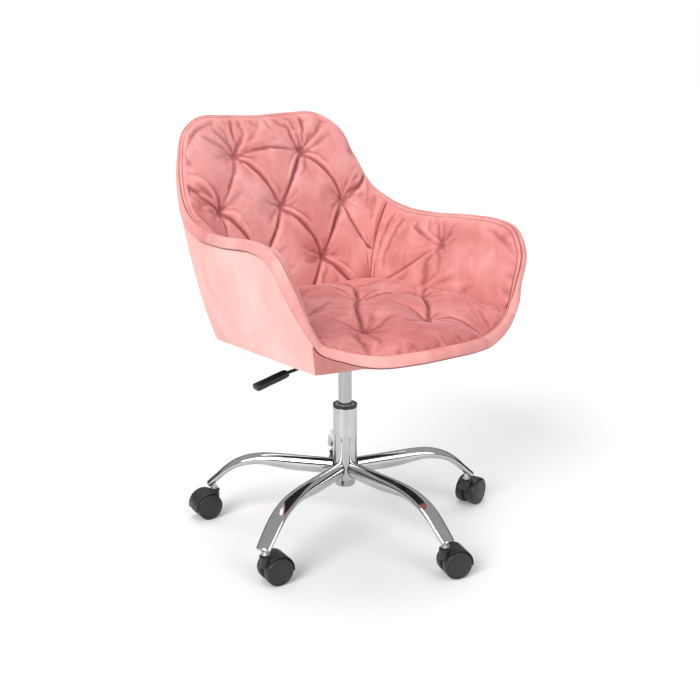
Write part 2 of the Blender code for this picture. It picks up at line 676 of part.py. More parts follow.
def make_lever(chair, looks):
    """The height lever: a bent rod that pivots in the channel, with a moulded paddle on its outer end."""
    pivot_x, _, pivot_z = LEVER_PIVOT
    pivot = empty("lever_pivot", LEVER_PIVOT, chair)
    route = [(x - pivot_x, z - pivot_z) for x, z in LEVER_ROUTE]
    lever = place("lever_rod", lever_mesh(route), looks["plastic"], pivot)
    half = CHANNEL_HALF_Y + 0.001
    cut(lever, rod("cross_bar", (0, -half, 0), (0, half, 0), LEVER_R, 10), "UNION")
    low = VALVE_PIN_TOP + 2 * GAP - pivot_z
    near = (-LEVER_TAB_BACK, -LEVER_TAB_HALF, low)
    far = (LEVER_TAB_FRONT, LEVER_TAB_HALF, low + LEVER_TAB_THICK)
    cut(lever, block("tab", near, far), "UNION")
    start, end = [Vector((x - pivot_x, 0, z - pivot_z)) for x, z in (PADDLE_START, PADDLE_END)]
    paddle = place("lever_paddle", paddle_mesh(start, end), looks["plastic"], pivot)
    before, tip = [Vector((x, 0, z)) for x, z in route[-2:]]
    beyond = tip + (tip - before).normalized() * 0.002
    cut(paddle, rod("rod_hole", before, beyond, LEVER_R + 0.0006, 16))


def floor_grid(inset, lift):
    """Points over the seat's underside, inset from its edges and lifted off it."""
    rows = []
    for u in np.linspace(-1, 1, 9):
        front = FRONT_CORNER[1] - FRONT_BOW * (1 - u * u) + inset
        back = BACK_CORNER[1] + BACK_BOW * (1 - u * u) - inset
        y = np.linspace(front, back, 5)
        rows.append(np.column_stack([u * (outline_half(y) - inset), y, underside(y) + lift]))
    return rows


def make_board(chair, looks):
    """Plywood seat board, and the dust cover under it with an opening for the plate."""
    mesh = slab("seat_board", floor_grid(0.006, BOARD_THICK), floor_grid(0.006, GAP))
    board = place("seat_board", mesh, looks["plywood"], chair)
    tilt = (-math.atan(SEAT_SLOPE), 0, 0)
    for x, y in bolt_places():
        hole = rod("bolt_hole", (0, 0, -0.01), (0, 0, BOLT_LENGTH - 0.0015), BOLT_R + GAP, 10)
        cut(board, hole, rotation=tilt, location=(x, y, underside(y)))
    mesh = slab("dust_cover", floor_grid(0.007, -GAP), floor_grid(0.007, -COVER_THICK - GAP))
    cover = place("dust_cover", mesh, looks["felt"], chair)
    x, y = PLATE_HALF_X + 0.001, PLATE_HALF_Y + 0.001
    cut(cover, block("opening", (-x, -y, CHANNEL_BOTTOM), (x, y, 0.46)))


def make_frame(chair, looks):
    """Bent steel bar inside the wall, from one front corner over the arms and the back to the other."""
    half = with_directions(RIM_KNOTS)
    rows = smooth(half + mirrored(half)[-2::-1], 41, 0.05, 0.95)
    points, across, out, size = frames(rows)
    centre = points + size * (0.0110 * across - 0.0190 * out)
    turns = np.linspace(0, 2 * math.pi, 6, endpoint=False)
    sections = [
        c + FRAME_R * (np.cos(turns)[:, None] * a + np.sin(turns)[:, None] * o)
        for c, a, o in zip(centre, across, out)
    ]
    place("frame_bar", lofted("frame_bar", sections, 60), looks["black_steel"], chair)


def skin_grids(bottom, rows, across, bulge, levels):
    """The outer and inner faces of an outer cover."""
    top = rim_points(rows, *OUTER_SEAM)
    outer = wall_grid(bottom, top, across, bulge, levels)
    return outer, outer - SKIN * across[:, None]


def side_swell(rows):
    """How far the arm's outer cover swells at each row: not at all where it meets the front strip."""
    return SIDE_BULGE * np.minimum(1.0, SWELL_RISE * side_share(rows))


def make_outer_covers(chair, looks):
    levels = np.linspace(0, 1, 6)
    rows = side_rows(15)
    outer, inner = skin_grids(side_bottom(rows), rows, side_flat(rows), side_swell(rows), levels)
    place("outer_side_left", slab("outer_side_left", outer, inner), looks["fabric"], chair)
    mesh = slab("outer_side_right", turned_side(outer), turned_side(inner))
    place("outer_side_right", mesh, looks["fabric"], chair)
    rows = back_rows(19)
    swell = back_swell(rows, SIDE_BULGE, BACK_BULGE)
    outer, inner = skin_grids(back_bottom(rows), rows, flat(rows), swell, levels)
    place("outer_back", slab("outer_back", outer, inner), looks["fabric"], chair)
    rows = lip_rows(19)
    outer, inner = skin_grids(front_bottom(rows), rows, flat(rows), 0.0, np.linspace(0, 1, 3))
    place("front_strip", slab("front_strip", outer, inner), looks["fabric"], chair)


def make_rim_rolls(chair, looks):
    half = with_directions(RIM_KNOTS)
    rows = smooth(half + mirrored(half)[-2::-1], 49)
    place("rim_roll", roll("rim_roll", rows), looks["fabric"], chair)
    place("lip_roll", roll("lip_roll", lip_rows(19)), looks["fabric"], chair)


def pad_grids(rows, across, bottom_face, bottom_hidden, bulge, hidden_bulge):
    levels = np.linspace(0, 1, 7)
    seam = rim_points(rows, -0.0006, -0.0006) - 0.0022 * flat(rows)
    seam[:, 2] -= 0.0008
    face = wall_grid(bottom_face, seam, -across, bulge, levels)
    hidden = wall_grid(bottom_hidden, rim_points(rows, 0.0032, -0.0140), across, hidden_bulge, levels)
    return face, hidden


def make_pads(chair, looks):
    """Inner arm pads and inner back pad, between the rim seam and the seat cushion's sides."""
    rows = side_rows(13, 0.004)
    share = side_share(rows)
    y = FRONT_CORNER[1] + share * (PAD_CORNER_Y - FRONT_CORNER[1])
    face = np.column_stack([cushion_half(y) + 0.0015, y, np.full(len(y), PAD_BOTTOM)])
    y = y + share * PAD_CORNER_DEPTH
    inset = PAD_FRONT_INSET + share * (PAD_BACK_INSET - PAD_FRONT_INSET)
    hidden = np.column_stack([outline_half(y) - inset, y, face[:, 2]])
    swell = ARM_PAD_BULGE * np.minimum(1.0, 0.1 + SWELL_RISE * share)
    grids = pad_grids(rows, side_flat(rows), face, hidden, swell, side_swell(rows))
    place("arm_pad_left", slab("arm_pad_left", *grids), looks["fabric"], chair)
    mesh = slab("arm_pad_right", *[turned_side(grid) for grid in grids])
    place("arm_pad_right", mesh, looks["fabric"], chair)
    corner_face, corner_hidden = face[-1], hidden[-1]
    rows = back_rows(17)
    u = back_share(rows)
    bow = 1 - u * u
    face = np.column_stack([u * corner_face[0], corner_face[1] + PAD_BOW * bow, np.full(len(u), PAD_BOTTOM)])
    hidden = np.column_stack([u * corner_hidden[0], corner_hidden[1] + BACK_BOW * bow, face[:, 2]])
    swell = back_swell(rows, ARM_PAD_BULGE, BACK_PAD_BULGE)
    hidden_swell = back_swell(rows, SIDE_BULGE, BACK_BULGE)
    grids = pad_grids(rows, flat(rows), face, hidden, swell, hidden_swell)
    place("back_pad", slab("back_pad", *grids), looks["fabric"], chair)


def make_cushion(chair, looks):
    """Seat cushion: crowned on top, and running out over the front edge to the lip's seam."""
    lip = smooth(with_directions(LIP_KNOTS), 60)
    shares = np.linspace(0, 1, 8)
    near_lip = np.clip(1 - shares / 0.15, 0, 1)
    top, bottom = [], []
    for u in np.linspace(-1, 1, 15):
        front_half = LIP_KNOTS[-1][0] - 0.001
        y_front = np.interp(abs(u) * front_half, lip[:, 0], lip[:, 1]) + 0.0015
        z_front = np.interp(abs(u) * front_half, lip[:, 0], lip[:, 2])
        y_back = PAD_CORNER_Y + PAD_BOW * (1 - u * u) - 0.0020
        y = y_front + shares * (y_back - y_front)
        x = u * np.minimum(cushion_half(y), front_half)
        edge = (z_front - 0.001) * (1 - shares) + CUSHION_BACK_EDGE * shares
        crown = CUSHION_CROWN * np.sqrt(np.sin(math.pi * shares)) * (1 - 0.6 * u**6)
        top.append(np.column_stack([x, y, edge + crown]))
        rest = underside(y) + BOARD_THICK + 2 * GAP
        bottom.append(np.column_stack([x, y, rest * (1 - near_lip) + (z_front - 0.0110) * near_lip]))
    place("seat_cushion", slab("seat_cushion", top, bottom), looks["fabric"], chair)


def main():
    clear_scene()
    looks = {
        "fabric": material("pink_velvet", (0.62, 0.25, 0.24), 0.80),
        "chrome": material("polished_chrome", (0.80, 0.80, 0.82), 0.08, 1.0),
        "steel": material("ground_steel", (0.60, 0.61, 0.63), 0.25, 1.0),
        "zinc": material("zinc_plated_steel", (0.66, 0.67, 0.68), 0.35, 1.0),
        "plastic": material("black_nylon", (0.018, 0.018, 0.019), 0.50),
        "bush": material("grey_acetal", (0.55, 0.55, 0.56), 0.45),
        "black_steel": material("black_painted_steel", (0.02, 0.02, 0.02), 0.40, 0.3),
        "plywood": material("plywood", (0.52, 0.36, 0.20), 0.70),
        "felt": material("black_felt", (0.015, 0.015, 0.015), 0.95),
    }
    chair = empty("chair", (*COLUMN_XY, 0))
    make_base(chair, looks)
    make_lift(chair, looks)
    make_cylinder(chair, looks)
    make_casters(chair, looks)
    make_plate(chair, looks)
    make_bolts(chair, looks)
    make_lever(chair, looks)
    make_board(chair, looks)
    make_frame(chair, looks)
    make_outer_covers(chair, looks)
    make_rim_rolls(chair, looks)
    make_pads(chair, looks)
    make_cushion(chair, looks)


main()
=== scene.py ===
"""Looks of the styling chair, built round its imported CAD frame.

The seat faces -Y, +X is the sitter's left, and everything is in metres. The bucket's surfaces follow the
same seams as the CAD solids: a rim curve from the front corner over the arm and the back, and a lip curve
along the seat's front edge.
"""

import json
import math

import bmesh
import bpy
import numpy as np
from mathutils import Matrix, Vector


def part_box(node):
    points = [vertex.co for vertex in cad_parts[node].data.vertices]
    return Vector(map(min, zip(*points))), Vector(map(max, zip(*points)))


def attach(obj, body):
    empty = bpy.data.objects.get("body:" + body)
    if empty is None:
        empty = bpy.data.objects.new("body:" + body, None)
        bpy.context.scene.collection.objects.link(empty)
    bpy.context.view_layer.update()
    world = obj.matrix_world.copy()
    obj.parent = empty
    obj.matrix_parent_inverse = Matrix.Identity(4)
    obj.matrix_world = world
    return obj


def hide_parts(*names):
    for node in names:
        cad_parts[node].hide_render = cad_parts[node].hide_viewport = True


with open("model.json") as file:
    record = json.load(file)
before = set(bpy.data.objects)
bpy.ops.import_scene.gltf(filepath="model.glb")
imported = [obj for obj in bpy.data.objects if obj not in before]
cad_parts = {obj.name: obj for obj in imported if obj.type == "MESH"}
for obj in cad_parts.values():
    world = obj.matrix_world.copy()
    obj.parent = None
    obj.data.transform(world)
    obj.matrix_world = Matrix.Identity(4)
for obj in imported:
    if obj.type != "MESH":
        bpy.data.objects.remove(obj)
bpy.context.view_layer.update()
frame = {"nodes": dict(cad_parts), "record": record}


low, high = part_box("lift_outer_tube")
COLUMN = np.array([(low.x + high.x) / 2, (low.y + high.y) / 2, 0.0])
SIDES = ((1, "left"), (-1, "right"))  # the sitter's, and a caster's
LEG_COUNT = 5
FIRST_LEG_DEG = -156.6

# Bucket seams, from the column's axis: x, y, z, the direction across the wall in degrees, the roll's size
RIM_KNOTS = (
    (0.23, -0.2285, 0.503, -80, 0.8),
    (0.2393, -0.227, 0.5335, -45, 0.75),
    (0.26, -0.216, 0.603, -8, 1.0),
    (0.264, -0.19, 0.637, 0, 1.0),
    (0.257, -0.145, 0.649, 0, 1.0),
    (0.2484, -0.0994, 0.6501, 0, 1.0),
    (0.2438, 0.0377, 0.6411, 2, 1.0),
    (0.2405, 0.11, 0.6425, 10, 1.0),
    (0.2362, 0.168, 0.656, 28, 0.95),
    (0.23, 0.2137, 0.68, 50, 0.85),
    (0.21, 0.273, 0.765, 75, 0.7),
    (0.185, 0.298, 0.818, 84, 0.65),
    (0.145, 0.314, 0.841, 88, 0.65),
    (0.08, 0.321, 0.8425, 89, 0.65),
    (0.0, 0.322, 0.8395, 90, 0.65),
)
SIDE_KNOTS = 9
LIP_KNOTS = (
    (0.0, -0.311, 0.4695, -90, 1.0),
    (0.07, -0.298, 0.4655, -85, 1.0),
    (0.137, -0.27, 0.464, -80, 1.0),
    (0.186, -0.25, 0.476, -78, 0.9),
    (0.223, -0.231, 0.493, -78, 0.8),
)
INNER_SEAM, OUTER_SEAM = (-0.0003, -0.001), (0.0236, -0.0148)  # across the wall and out of its edge
SEAT_SLOPE, UNDERSIDE_AT_COLUMN = 0.0641, 0.4211
FRONT_CORNER, BACK_CORNER = (0.225, -0.225), (0.203, 0.165)
FRONT_BOW, BACK_BOW, FRONT_INSET = 0.033, 0.015, 0.0008
SIDE_BULGE, BACK_BULGE = 0.008, 0.016
SWELL_RISE = 5.0  # how fast the arm covers' swell grows from their front edge
PAD_CLEAR = 0.0015  # how far the pads' bottom lines stand out from the cushion
CUSHION_FRONT_HALF, CUSHION_BACK_HALF = 0.212, 0.174
CUSHION_CROWN, CUSHION_BACK_EDGE = 0.03, 0.484
PAD_BOTTOM = 0.453
PAD_CORNER_Y = 0.156
PAD_BOW = 0.011
CORNER_BEND = 0.011
ARM_PAD_BULGE, BACK_PAD_BULGE = 0.014, 0.022


# ---------------------------------------------------------------- curves and meshes


def smooth(knots, count, start=0.0, end=1.0):
    """Rows evenly spread along a smooth curve through the knots, measured by their first three columns."""
    knots = np.array(knots, dtype=float)
    steps = np.linalg.norm(np.diff(knots[:, :3], axis=0), axis=1)
    at = np.concatenate([[0.0], np.cumsum(steps)])
    slopes = np.gradient(knots, at, axis=0)
    wanted = np.linspace(start * at[-1], end * at[-1], count)
    i = np.clip(np.searchsorted(at, wanted, side="right") - 1, 0, len(at) - 2)
    span = (at[i + 1] - at[i])[:, None]
    t = (wanted - at[i])[:, None] / span
    rise, fall = t * t * (3 - 2 * t), 1 - t * t * (3 - 2 * t)
    return (
        fall * knots[i]
        + rise * knots[i + 1]
        + span * (t * (1 - t) ** 2 * slopes[i] - t * t * (1 - t) * slopes[i + 1])
    )


def unit(vectors):
    return vectors / np.maximum(np.linalg.norm(vectors, axis=-1), 1e-12)[..., None]


def with_directions(knots):
    """Each knot as x, y, z, the direction across the wall as a vector, and the roll's size."""
    return [
        (x, y, z, math.cos(math.radians(turn)), math.sin(math.radians(turn)), size)
        for x, y, z, turn, size in knots
    ]


def mirrored(rows):
    return [(-x, y, z, -across_x, across_y, size) for x, y, z, across_x, across_y, size in rows]


def flat(rows):
    """The direction across the wall at each row, level."""
    return unit(np.column_stack([rows[:, 3], rows[:, 4], np.zeros(len(rows))]))


def frames(rows):
    """Points, directions across the wall, directions out of its edge, and sizes, along a rim curve."""
    points, across = rows[:, :3], flat(rows)
    along = unit(np.gradient(points, axis=0))
    across = unit(across - along * (across * along).sum(axis=1)[:, None])
    return points, across, np.cross(across, along), rows[:, 5][:, None]


def rim_points(rows, across_by, out_by):
    points, across, out, size = frames(rows)
    return points + size * (across_by * across + out_by * out)


def side_flat(rows):
    across = flat(rows)
    across[across[:, 1] < 0] = (1.0, 0.0, 0.0)
    return across


def underside(y):
    return UNDERSIDE_AT_COLUMN - SEAT_SLOPE * y


def side_rows(count, start=0.0):
    return smooth(with_directions(RIM_KNOTS)[:SIDE_KNOTS], count, start, 0.999)


def back_rows(count):
    half = with_directions(RIM_KNOTS)[SIDE_KNOTS - 1 :]
    return smooth(half + mirrored(half)[-2::-1], count, 0.001, 0.999)


def front_rows(count):
    """The lip, with the rim's first knot at each end, where the front strip meets the arm's cover."""
    half = with_directions(LIP_KNOTS + RIM_KNOTS[:1])
    return smooth(mirrored(half)[::-1] + half[1:], count)


def whole_edge(count):
    """The rim and the lip as one loop, from the lip's middle round the sitter's left and back."""
    half = with_directions(LIP_KNOTS) + with_directions(RIM_KNOTS)
    loop = half + mirrored(half)[-2::-1]
    lead = 3
    lap = loop[-1 - lead : -1] + loop + loop[1 : 1 + lead]
    knots = np.array(lap)[:, :3]
    at = np.concatenate([[0.0], np.cumsum(np.linalg.norm(np.diff(knots, axis=0), axis=1))])
    first, last = at[lead] / at[-1], at[-1 - lead] / at[-1]
    return smooth(lap, count + 1, first, last)[:-1]


def side_share(rows):
    first, last = RIM_KNOTS[0][1], RIM_KNOTS[SIDE_KNOTS - 1][1]
    return np.clip((rows[:, 1] - first) / (last - first), 0.0, 1.0)


def back_share(rows):
    return rows[:, 0] / RIM_KNOTS[SIDE_KNOTS - 1][0]


def between_corners(y, at_front, at_back):
    """A half width that changes evenly from the front corner to the back one."""
    share = (y - FRONT_CORNER[1]) / (BACK_CORNER[1] - FRONT_CORNER[1])
    return at_front + np.clip(share, 0, 1) * (at_back - at_front)


def outline_half(y):
    return between_corners(y, FRONT_CORNER[0], BACK_CORNER[0])


def cushion_half(y):
    return between_corners(y, CUSHION_FRONT_HALF, CUSHION_BACK_HALF)


def wall_grid(bottom, top, across, bulge, levels):
    """Points from a bottom line to a top line, swelling across the wall in between."""
    levels = levels[None, :, None]
    swell = np.reshape(bulge, (-1, 1, 1)) * 4 * levels * (1 - levels) * across[:, None]
    return (1 - levels) * bottom[:, None] + levels * top[:, None] + swell


def grid_normals(grid, towards):
    """Unit normals of a grid of points, on the side where their mean points towards."""
    normals = unit(np.cross(np.gradient(grid, axis=0), np.gradient(grid, axis=1)))
    return normals * np.sign((normals @ np.array(towards)).mean())


def upwards(grid):
    normals = grid_normals(grid, (0.0, 0.0, 1.0))
    return normals * np.where(normals[..., 2:] < 0, -1.0, 1.0)


def mesh_object(name, points, faces, sharp_deg=None):
    """An object from points about the column's axis, with its faces turned outwards."""
    mesh = bpy.data.meshes.new(name)
    mesh.from_pydata((np.asarray(points) + COLUMN).tolist(), [], faces)
    bm = bmesh.new()
    bm.from_mesh(mesh)
    bmesh.ops.recalc_face_normals(bm, faces=bm.faces)
    bm.to_mesh(mesh)
    bm.free()
    mesh.shade_smooth()
    if sharp_deg:
        mesh.set_sharp_from_angle(angle=math.radians(sharp_deg))
    obj = bpy.data.objects.new(name, mesh)
    bpy.context.scene.collection.objects.link(obj)
    return obj


def grid_faces(rows, columns, first=0):
    """Quads of a grid whose points are numbered row by row."""
    starts = [first + i * columns + j for i in range(rows - 1) for j in range(columns - 1)]
    return [(k, k + columns, k + columns + 1, k + 1) for k in starts]


def slab(name, front, back, sharp_deg=None):
    """A closed solid between two grids of the same shape."""
    rows, columns, _ = front.shape
    count = rows * columns
    faces = grid_faces(rows, columns) + grid_faces(rows, columns, count)
    border = [i * columns for i in range(rows)]
    border += [(rows - 1) * columns + j for j in range(1, columns)]
    border += [i * columns + columns - 1 for i in range(rows - 2, -1, -1)]
    border += list(range(columns - 2, 0, -1))
    faces += [(a, b, count + b, count + a) for a, b in zip(border, border[1:] + border[:1])]
    return mesh_object(name, np.concatenate([front.reshape(-1, 3), back.reshape(-1, 3)]), faces, sharp_deg)


def shell(sections, closed=False):
    """Points and faces of a skin through rings of points, capped at its ends unless it closes on itself."""
    sections = np.asarray(sections)
    rings, sides, _ = sections.shape
    faces = [] if closed else [tuple(range(sides)), tuple(range((rings - 1) * sides, rings * sides))]
    for i in range(rings if closed else rings - 1):
        near, far = i * sides, (i + 1) % rings * sides
        faces += [(near + j, near + (j + 1) % sides, far + (j + 1) % sides, far + j) for j in range(sides)]
    return sections.reshape(-1, 3), faces


def tube(name, sections, closed=False, sharp_deg=None):
    return mesh_object(name, *shell(sections, closed), sharp_deg)


def lathe(profile, centre, axis, sides=48):
    """Points and faces of a solid turned round an axis from (radius, height) points, an open outline."""
    axis = np.array(axis, dtype=float)
    side = np.cross(axis, (0.0, 0.0, 1.0) if abs(axis[2]) < 0.9 else (1.0, 0.0, 0.0))
    side /= np.linalg.norm(side)
    other = np.cross(axis, side)
    turns = np.linspace(0, 2 * math.pi, sides, endpoint=False)[:, None]
    round_about = np.cos(turns) * side + np.sin(turns) * other
    return shell([centre + height * axis + radius * round_about for radius, height in profile])


def joined(name, shells, sharp_deg=35):
    """One object from several closed skins, whose points are world positions."""
    faces, count = [], 0
    for points, around in shells:
        faces += [tuple(count + k for k in face) for face in around]
        count += len(points)
    points = np.concatenate([points for points, _ in shells]) - COLUMN
    return mesh_object(name, points, faces, sharp_deg)


def rounded(profile, radius, steps=4):
    """A closed outline of (a, b) points with each corner rounded by an arc-like curve."""
    points = [Vector(p) for p in profile]
    outline = []
    for before, corner, after in zip(points[-1:] + points[:-1], points, points[1:] + points[:1]):
        to_before, to_after = before - corner, after - corner
        reach = min(radius, to_before.length * 0.45, to_after.length * 0.45)
        start = corner + to_before.normalized() * reach
        end = corner + to_after.normalized() * reach
        for k in range(steps + 1):
            t = k / steps
            outline.append(tuple(start * (1 - t) ** 2 + corner * 2 * t * (1 - t) + end * t * t))
    return outline


def turned(name, profile, sides=72, radius=0.0, sharp_deg=35):
    """A solid turned round the column's axis from (radius, height) points, corners rounded by radius."""
    outline = rounded(profile, radius) if radius else profile
    angles = np.linspace(0, 2 * math.pi, sides, endpoint=False)
    rings = [[(r * math.cos(a), r * math.sin(a), z) for r, z in outline] for a in angles]
    return tube(name, rings, closed=True, sharp_deg=sharp_deg)


def finish_piece(obj, body, look, *nodes):
    """Gives a piece its material and body, and hides the CAD nodes that it stands for."""
    obj.data.materials.clear()
    obj.data.materials.append(LOOKS[look])
    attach(obj, body)
    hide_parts(*nodes)


# ---------------------------------------------------------------- materials


class Nodes:
    """A short way to write the node tree of a material or a world."""

    def __init__(self, owner):
        self.owner = owner
        self.owner.use_nodes = True
        self.tree = owner.node_tree
        self.coordinates = self.tree.nodes.new("ShaderNodeTexCoord").outputs
        self.place = self.coordinates["Object"]

    def add(self, kind, inputs=(), **settings):
        node = self.tree.nodes.new(kind)
        for key, value in settings.items():
            setattr(node, key, value)
        for key, value in dict(inputs).items():
            self.set(node.inputs[key], value)
        return node

    def set(self, socket, value):
        if isinstance(value, bpy.types.NodeSocket):
            self.tree.links.new(value, socket)
        else:
            socket.default_value = value

    def noise(self, scale, detail=2.0, roughness=0.5, distortion=0.0, stretch=None):
        place = self.place
        if stretch:
            place = self.add("ShaderNodeMapping", {"Vector": place, "Scale": stretch}).outputs["Vector"]
        inputs = {"Vector": place, "Scale": scale, "Detail": detail}
        inputs.update({"Roughness": roughness, "Distortion": distortion})
        return self.add("ShaderNodeTexNoise", inputs).outputs["Fac"]

    def ramp(self, fac, *stops):
        node = self.add("ShaderNodeValToRGB", {"Fac": fac})
        elements = node.color_ramp.elements
        while len(elements) < len(stops):
            elements.new(1.0)
        for element, (at, colour) in zip(elements, stops):
            element.position = at
            element.color = (*colour, 1.0)
        return node.outputs["Color"]

    def multiplied(self, a, b):
        node = self.add("ShaderNodeMix", {0: 1.0, 6: a, 7: b}, data_type="RGBA", blend_type="MULTIPLY")
        return node.outputs[2]

    def spread(self, fac, low, high, start=0.0, end=1.0):
        inputs = {"Value": fac, "From Min": start, "From Max": end, "To Min": low, "To Max": high}
        return self.add("ShaderNodeMapRange", inputs).outputs["Result"]

    def maths(self, operation, a, b):
        return self.add("ShaderNodeMath", {0: a, 1: b}, operation=operation).outputs[0]

    def bump(self, height, strength, distance, normal=None):
        inputs = {"Height": height, "Strength": strength, "Distance": distance}
        if normal:
            inputs["Normal"] = normal
        return self.add("ShaderNodeBump", inputs).outputs["Normal"]

    def surface(self, **inputs):
        for key, value in inputs.items():
            socket = self.tree.nodes["Principled BSDF"].inputs[key.replace("_", " ")]
            self.set(socket, (*value, 1.0) if isinstance(value, tuple) else value)
        return self.owner


def new_material(name):
    return Nodes(bpy.data.materials.new(name))


# painted shade: what velvet's colour is multiplied by from the bottom of a fold, through flat cloth, to a
# ridge's top, darkening the folds where shade falls
PAINTED_FOLD_SHADE = ((0.0, (0.5, 0.38, 0.38)), (0.5, (0.88, 0.86, 0.86)), (1.0, (1.0, 1.0, 1.0)))


def velvet(name, dark, mid, light):
    """Short-pile velvet: brushed patches, soft streaks, a fine pile and painted shade in its folds."""
    n = new_material(name)
    patches = n.noise(6.0, 2.0, 0.5, 0.5)
    streaks = n.noise(22.0, 4.0, 0.6, 1.0, stretch=(1.0, 1.0, 0.5))
    worn = n.maths("ADD", n.maths("MULTIPLY", patches, 0.6), n.maths("MULTIPLY", streaks, 0.4))
    colour = n.ramp(worn, (0.3, dark), (0.5, mid), (0.7, light))
    # painted shade: each point's stored fold value darkens the colour in hollows and creases
    painted_shade_fac = n.add("ShaderNodeAttribute", attribute_name="painted_shade").outputs["Fac"]
    shade = n.ramp(n.spread(painted_shade_fac, 0.0, 1.0, -1.0, 1.0), *PAINTED_FOLD_SHADE)
    colour = n.multiplied(colour, shade)
    pile = n.noise(900.0, 2.0, 0.6)
    marks = n.noise(60.0, 3.0, 0.6, 0.6)
    normal = n.bump(marks, 0.08, 0.0012)
    normal = n.bump(pile, 0.18, 0.0005, normal)
    return n.surface(
        Base_Color=colour,
        Roughness=0.82,
        Specular_IOR_Level=0.18,
        Sheen_Weight=0.35,
        Sheen_Roughness=0.35,
        Sheen_Tint=(1.0, 0.8, 0.78),
        Normal=normal,
    )


def chrome(name):
    """Mirror-polished plate with faint polishing waves and a little dust in its gloss."""
    n = new_material(name)
    smears = n.noise(26.0, 4.0, 0.6, 0.5)
    waves = n.noise(34.0, 1.0)
    return n.surface(
        Base_Color=n.ramp(smears, (0.3, (0.45, 0.45, 0.46)), (0.7, (0.53, 0.53, 0.54))),
        Metallic=1.0,
        Roughness=n.spread(smears, 0.035, 0.1, 0.35, 0.75),
        Normal=n.bump(waves, 0.05, 0.002),
    )


def steel(name, colour, low, high, streak=(1.0, 1.0, 60.0)):
    """Ground steel with fine marks round its axis."""
    n = new_material(name)
    marks = n.noise(18.0, 4.0, 0.65, stretch=streak)
    dark = tuple(0.82 * c for c in colour)
    return n.surface(
        Base_Color=n.ramp(marks, (0.3, dark), (0.7, colour)),
        Metallic=1.0,
        Roughness=n.spread(marks, low, high, 0.3, 0.7),
        Normal=n.bump(marks, 0.08, 0.0002),
    )


def moulded(name, colour, low, high, grain=1600.0):
    """Moulded plastic with a fine spark-eroded texture."""
    n = new_material(name)
    texture = n.noise(grain, 2.0, 0.55)
    dust = n.noise(40.0, 4.0, 0.6)
    light = tuple(min(1.0, 1.5 * c + 0.004) for c in colour)
    return n.surface(
        Base_Color=n.ramp(dust, (0.35, colour), (0.75, light)),
        Roughness=n.spread(dust, low, high, 0.3, 0.7),
        Normal=n.bump(texture, 0.18, 0.0003),
    )


def plywood(name):
    n = new_material(name)
    grain = n.noise(30.0, 5.0, 0.6, 1.2, stretch=(0.25, 2.5, 1.0))
    colour = n.ramp(grain, (0.3, (0.38, 0.23, 0.11)), (0.52, (0.55, 0.37, 0.2)), (0.72, (0.64, 0.47, 0.28)))
    return n.surface(Base_Color=colour, Roughness=0.68, Normal=n.bump(grain, 0.25, 0.0006))


def lining(name):
    """Spun-bonded dust cover: black fibres with a dimpled bond pattern."""
    n = new_material(name)
    fibres = n.noise(420.0, 4.0, 0.7)
    cells = n.add("ShaderNodeTexVoronoi", {"Vector": n.place, "Scale": 480.0}).outputs["Distance"]
    colour = n.ramp(fibres, (0.3, (0.01, 0.01, 0.011)), (0.8, (0.045, 0.045, 0.048)))
    normal = n.bump(cells, 0.3, 0.0004)
    return n.surface(Base_Color=colour, Roughness=0.92, Normal=n.bump(fibres, 0.3, 0.0003, normal))


# the same cloth in lit and shaded copies: the inner pads' tone, painted light on the outer covers and a
# little on the roll, and painted shade on the seat and front strip
VELVETS = {
    "pink_velvet": ((0.57, 0.175, 0.17), (0.71, 0.275, 0.265), (0.86, 0.43, 0.41)),
    "pink_velvet_outer_painted_light": ((0.8, 0.39, 0.36), (0.88, 0.52, 0.48), (0.94, 0.62, 0.58)),
    "pink_velvet_seat_painted_shade": ((0.47, 0.128, 0.124), (0.6, 0.205, 0.198), (0.79, 0.35, 0.33)),
    "pink_velvet_front_painted_shade": ((0.5, 0.15, 0.145), (0.6, 0.22, 0.205), (0.72, 0.32, 0.3)),
    "pink_velvet_roll_painted_light": ((0.62, 0.225, 0.215), (0.76, 0.34, 0.32), (0.89, 0.49, 0.46)),
}
LOOKS = {name: velvet(name, *shades) for name, shades in VELVETS.items()}
LOOKS.update(
    polished_chrome=chrome("polished_chrome"),
    ground_steel=steel("ground_steel", (0.44, 0.44, 0.46), 0.1, 0.22),
    zinc_plated_steel=steel("zinc_plated_steel", (0.7, 0.71, 0.73), 0.24, 0.4, (1.0, 1.0, 4.0)),
    black_nylon=moulded("black_nylon", (0.011, 0.011, 0.012), 0.34, 0.5),
    grey_acetal=moulded("grey_acetal", (0.5, 0.5, 0.51), 0.38, 0.5, 700.0),
    black_painted_steel=moulded("black_painted_steel", (0.014, 0.014, 0.015), 0.3, 0.44, 500.0),
    plywood=plywood("plywood"),
    black_felt=lining("black_felt"),
)


def dress_cad_nodes():
    """Every CAD node gets its slot's procedural material, whether it ends up shown or not."""
    for part in frame["record"]["subparts"]:
        obj = frame["nodes"][part["node"]]
        obj.data.materials.clear()
        obj.data.materials.append(LOOKS[part["material_slot"]])


# ---------------------------------------------------------------- tufted upholstery


def from_line(q, start, end, bend):
    """Signed distance of points from a bent line, and how far along it they are, from 0 to 1."""
    start, end = np.array(start), np.array(end)
    run = end - start
    length = np.linalg.norm(run)
    along = ((q - start) @ run) / length**2
    side = np.array([-run[1], run[0]]) / length
    return (q - start) @ side - bend * 4 * along * (1 - along), along


def window(t, low, high, soft):
    """1 between low and high, falling smoothly to 0 over soft on each side."""
    rise = np.clip((t - low) / soft + 0.5, 0, 1)
    fall = np.clip((high - t) / soft + 0.5, 0, 1)
    return rise * rise * (3 - 2 * rise) * fall * fall * (3 - 2 * fall)


def to_nearest(q, tufts):
    """Each point's distance from the nearest tuft."""
    return np.min([np.linalg.norm(q - np.array(tuft), axis=-1) for tuft in tufts], axis=0)


FOLD_TIGHT = 0.68


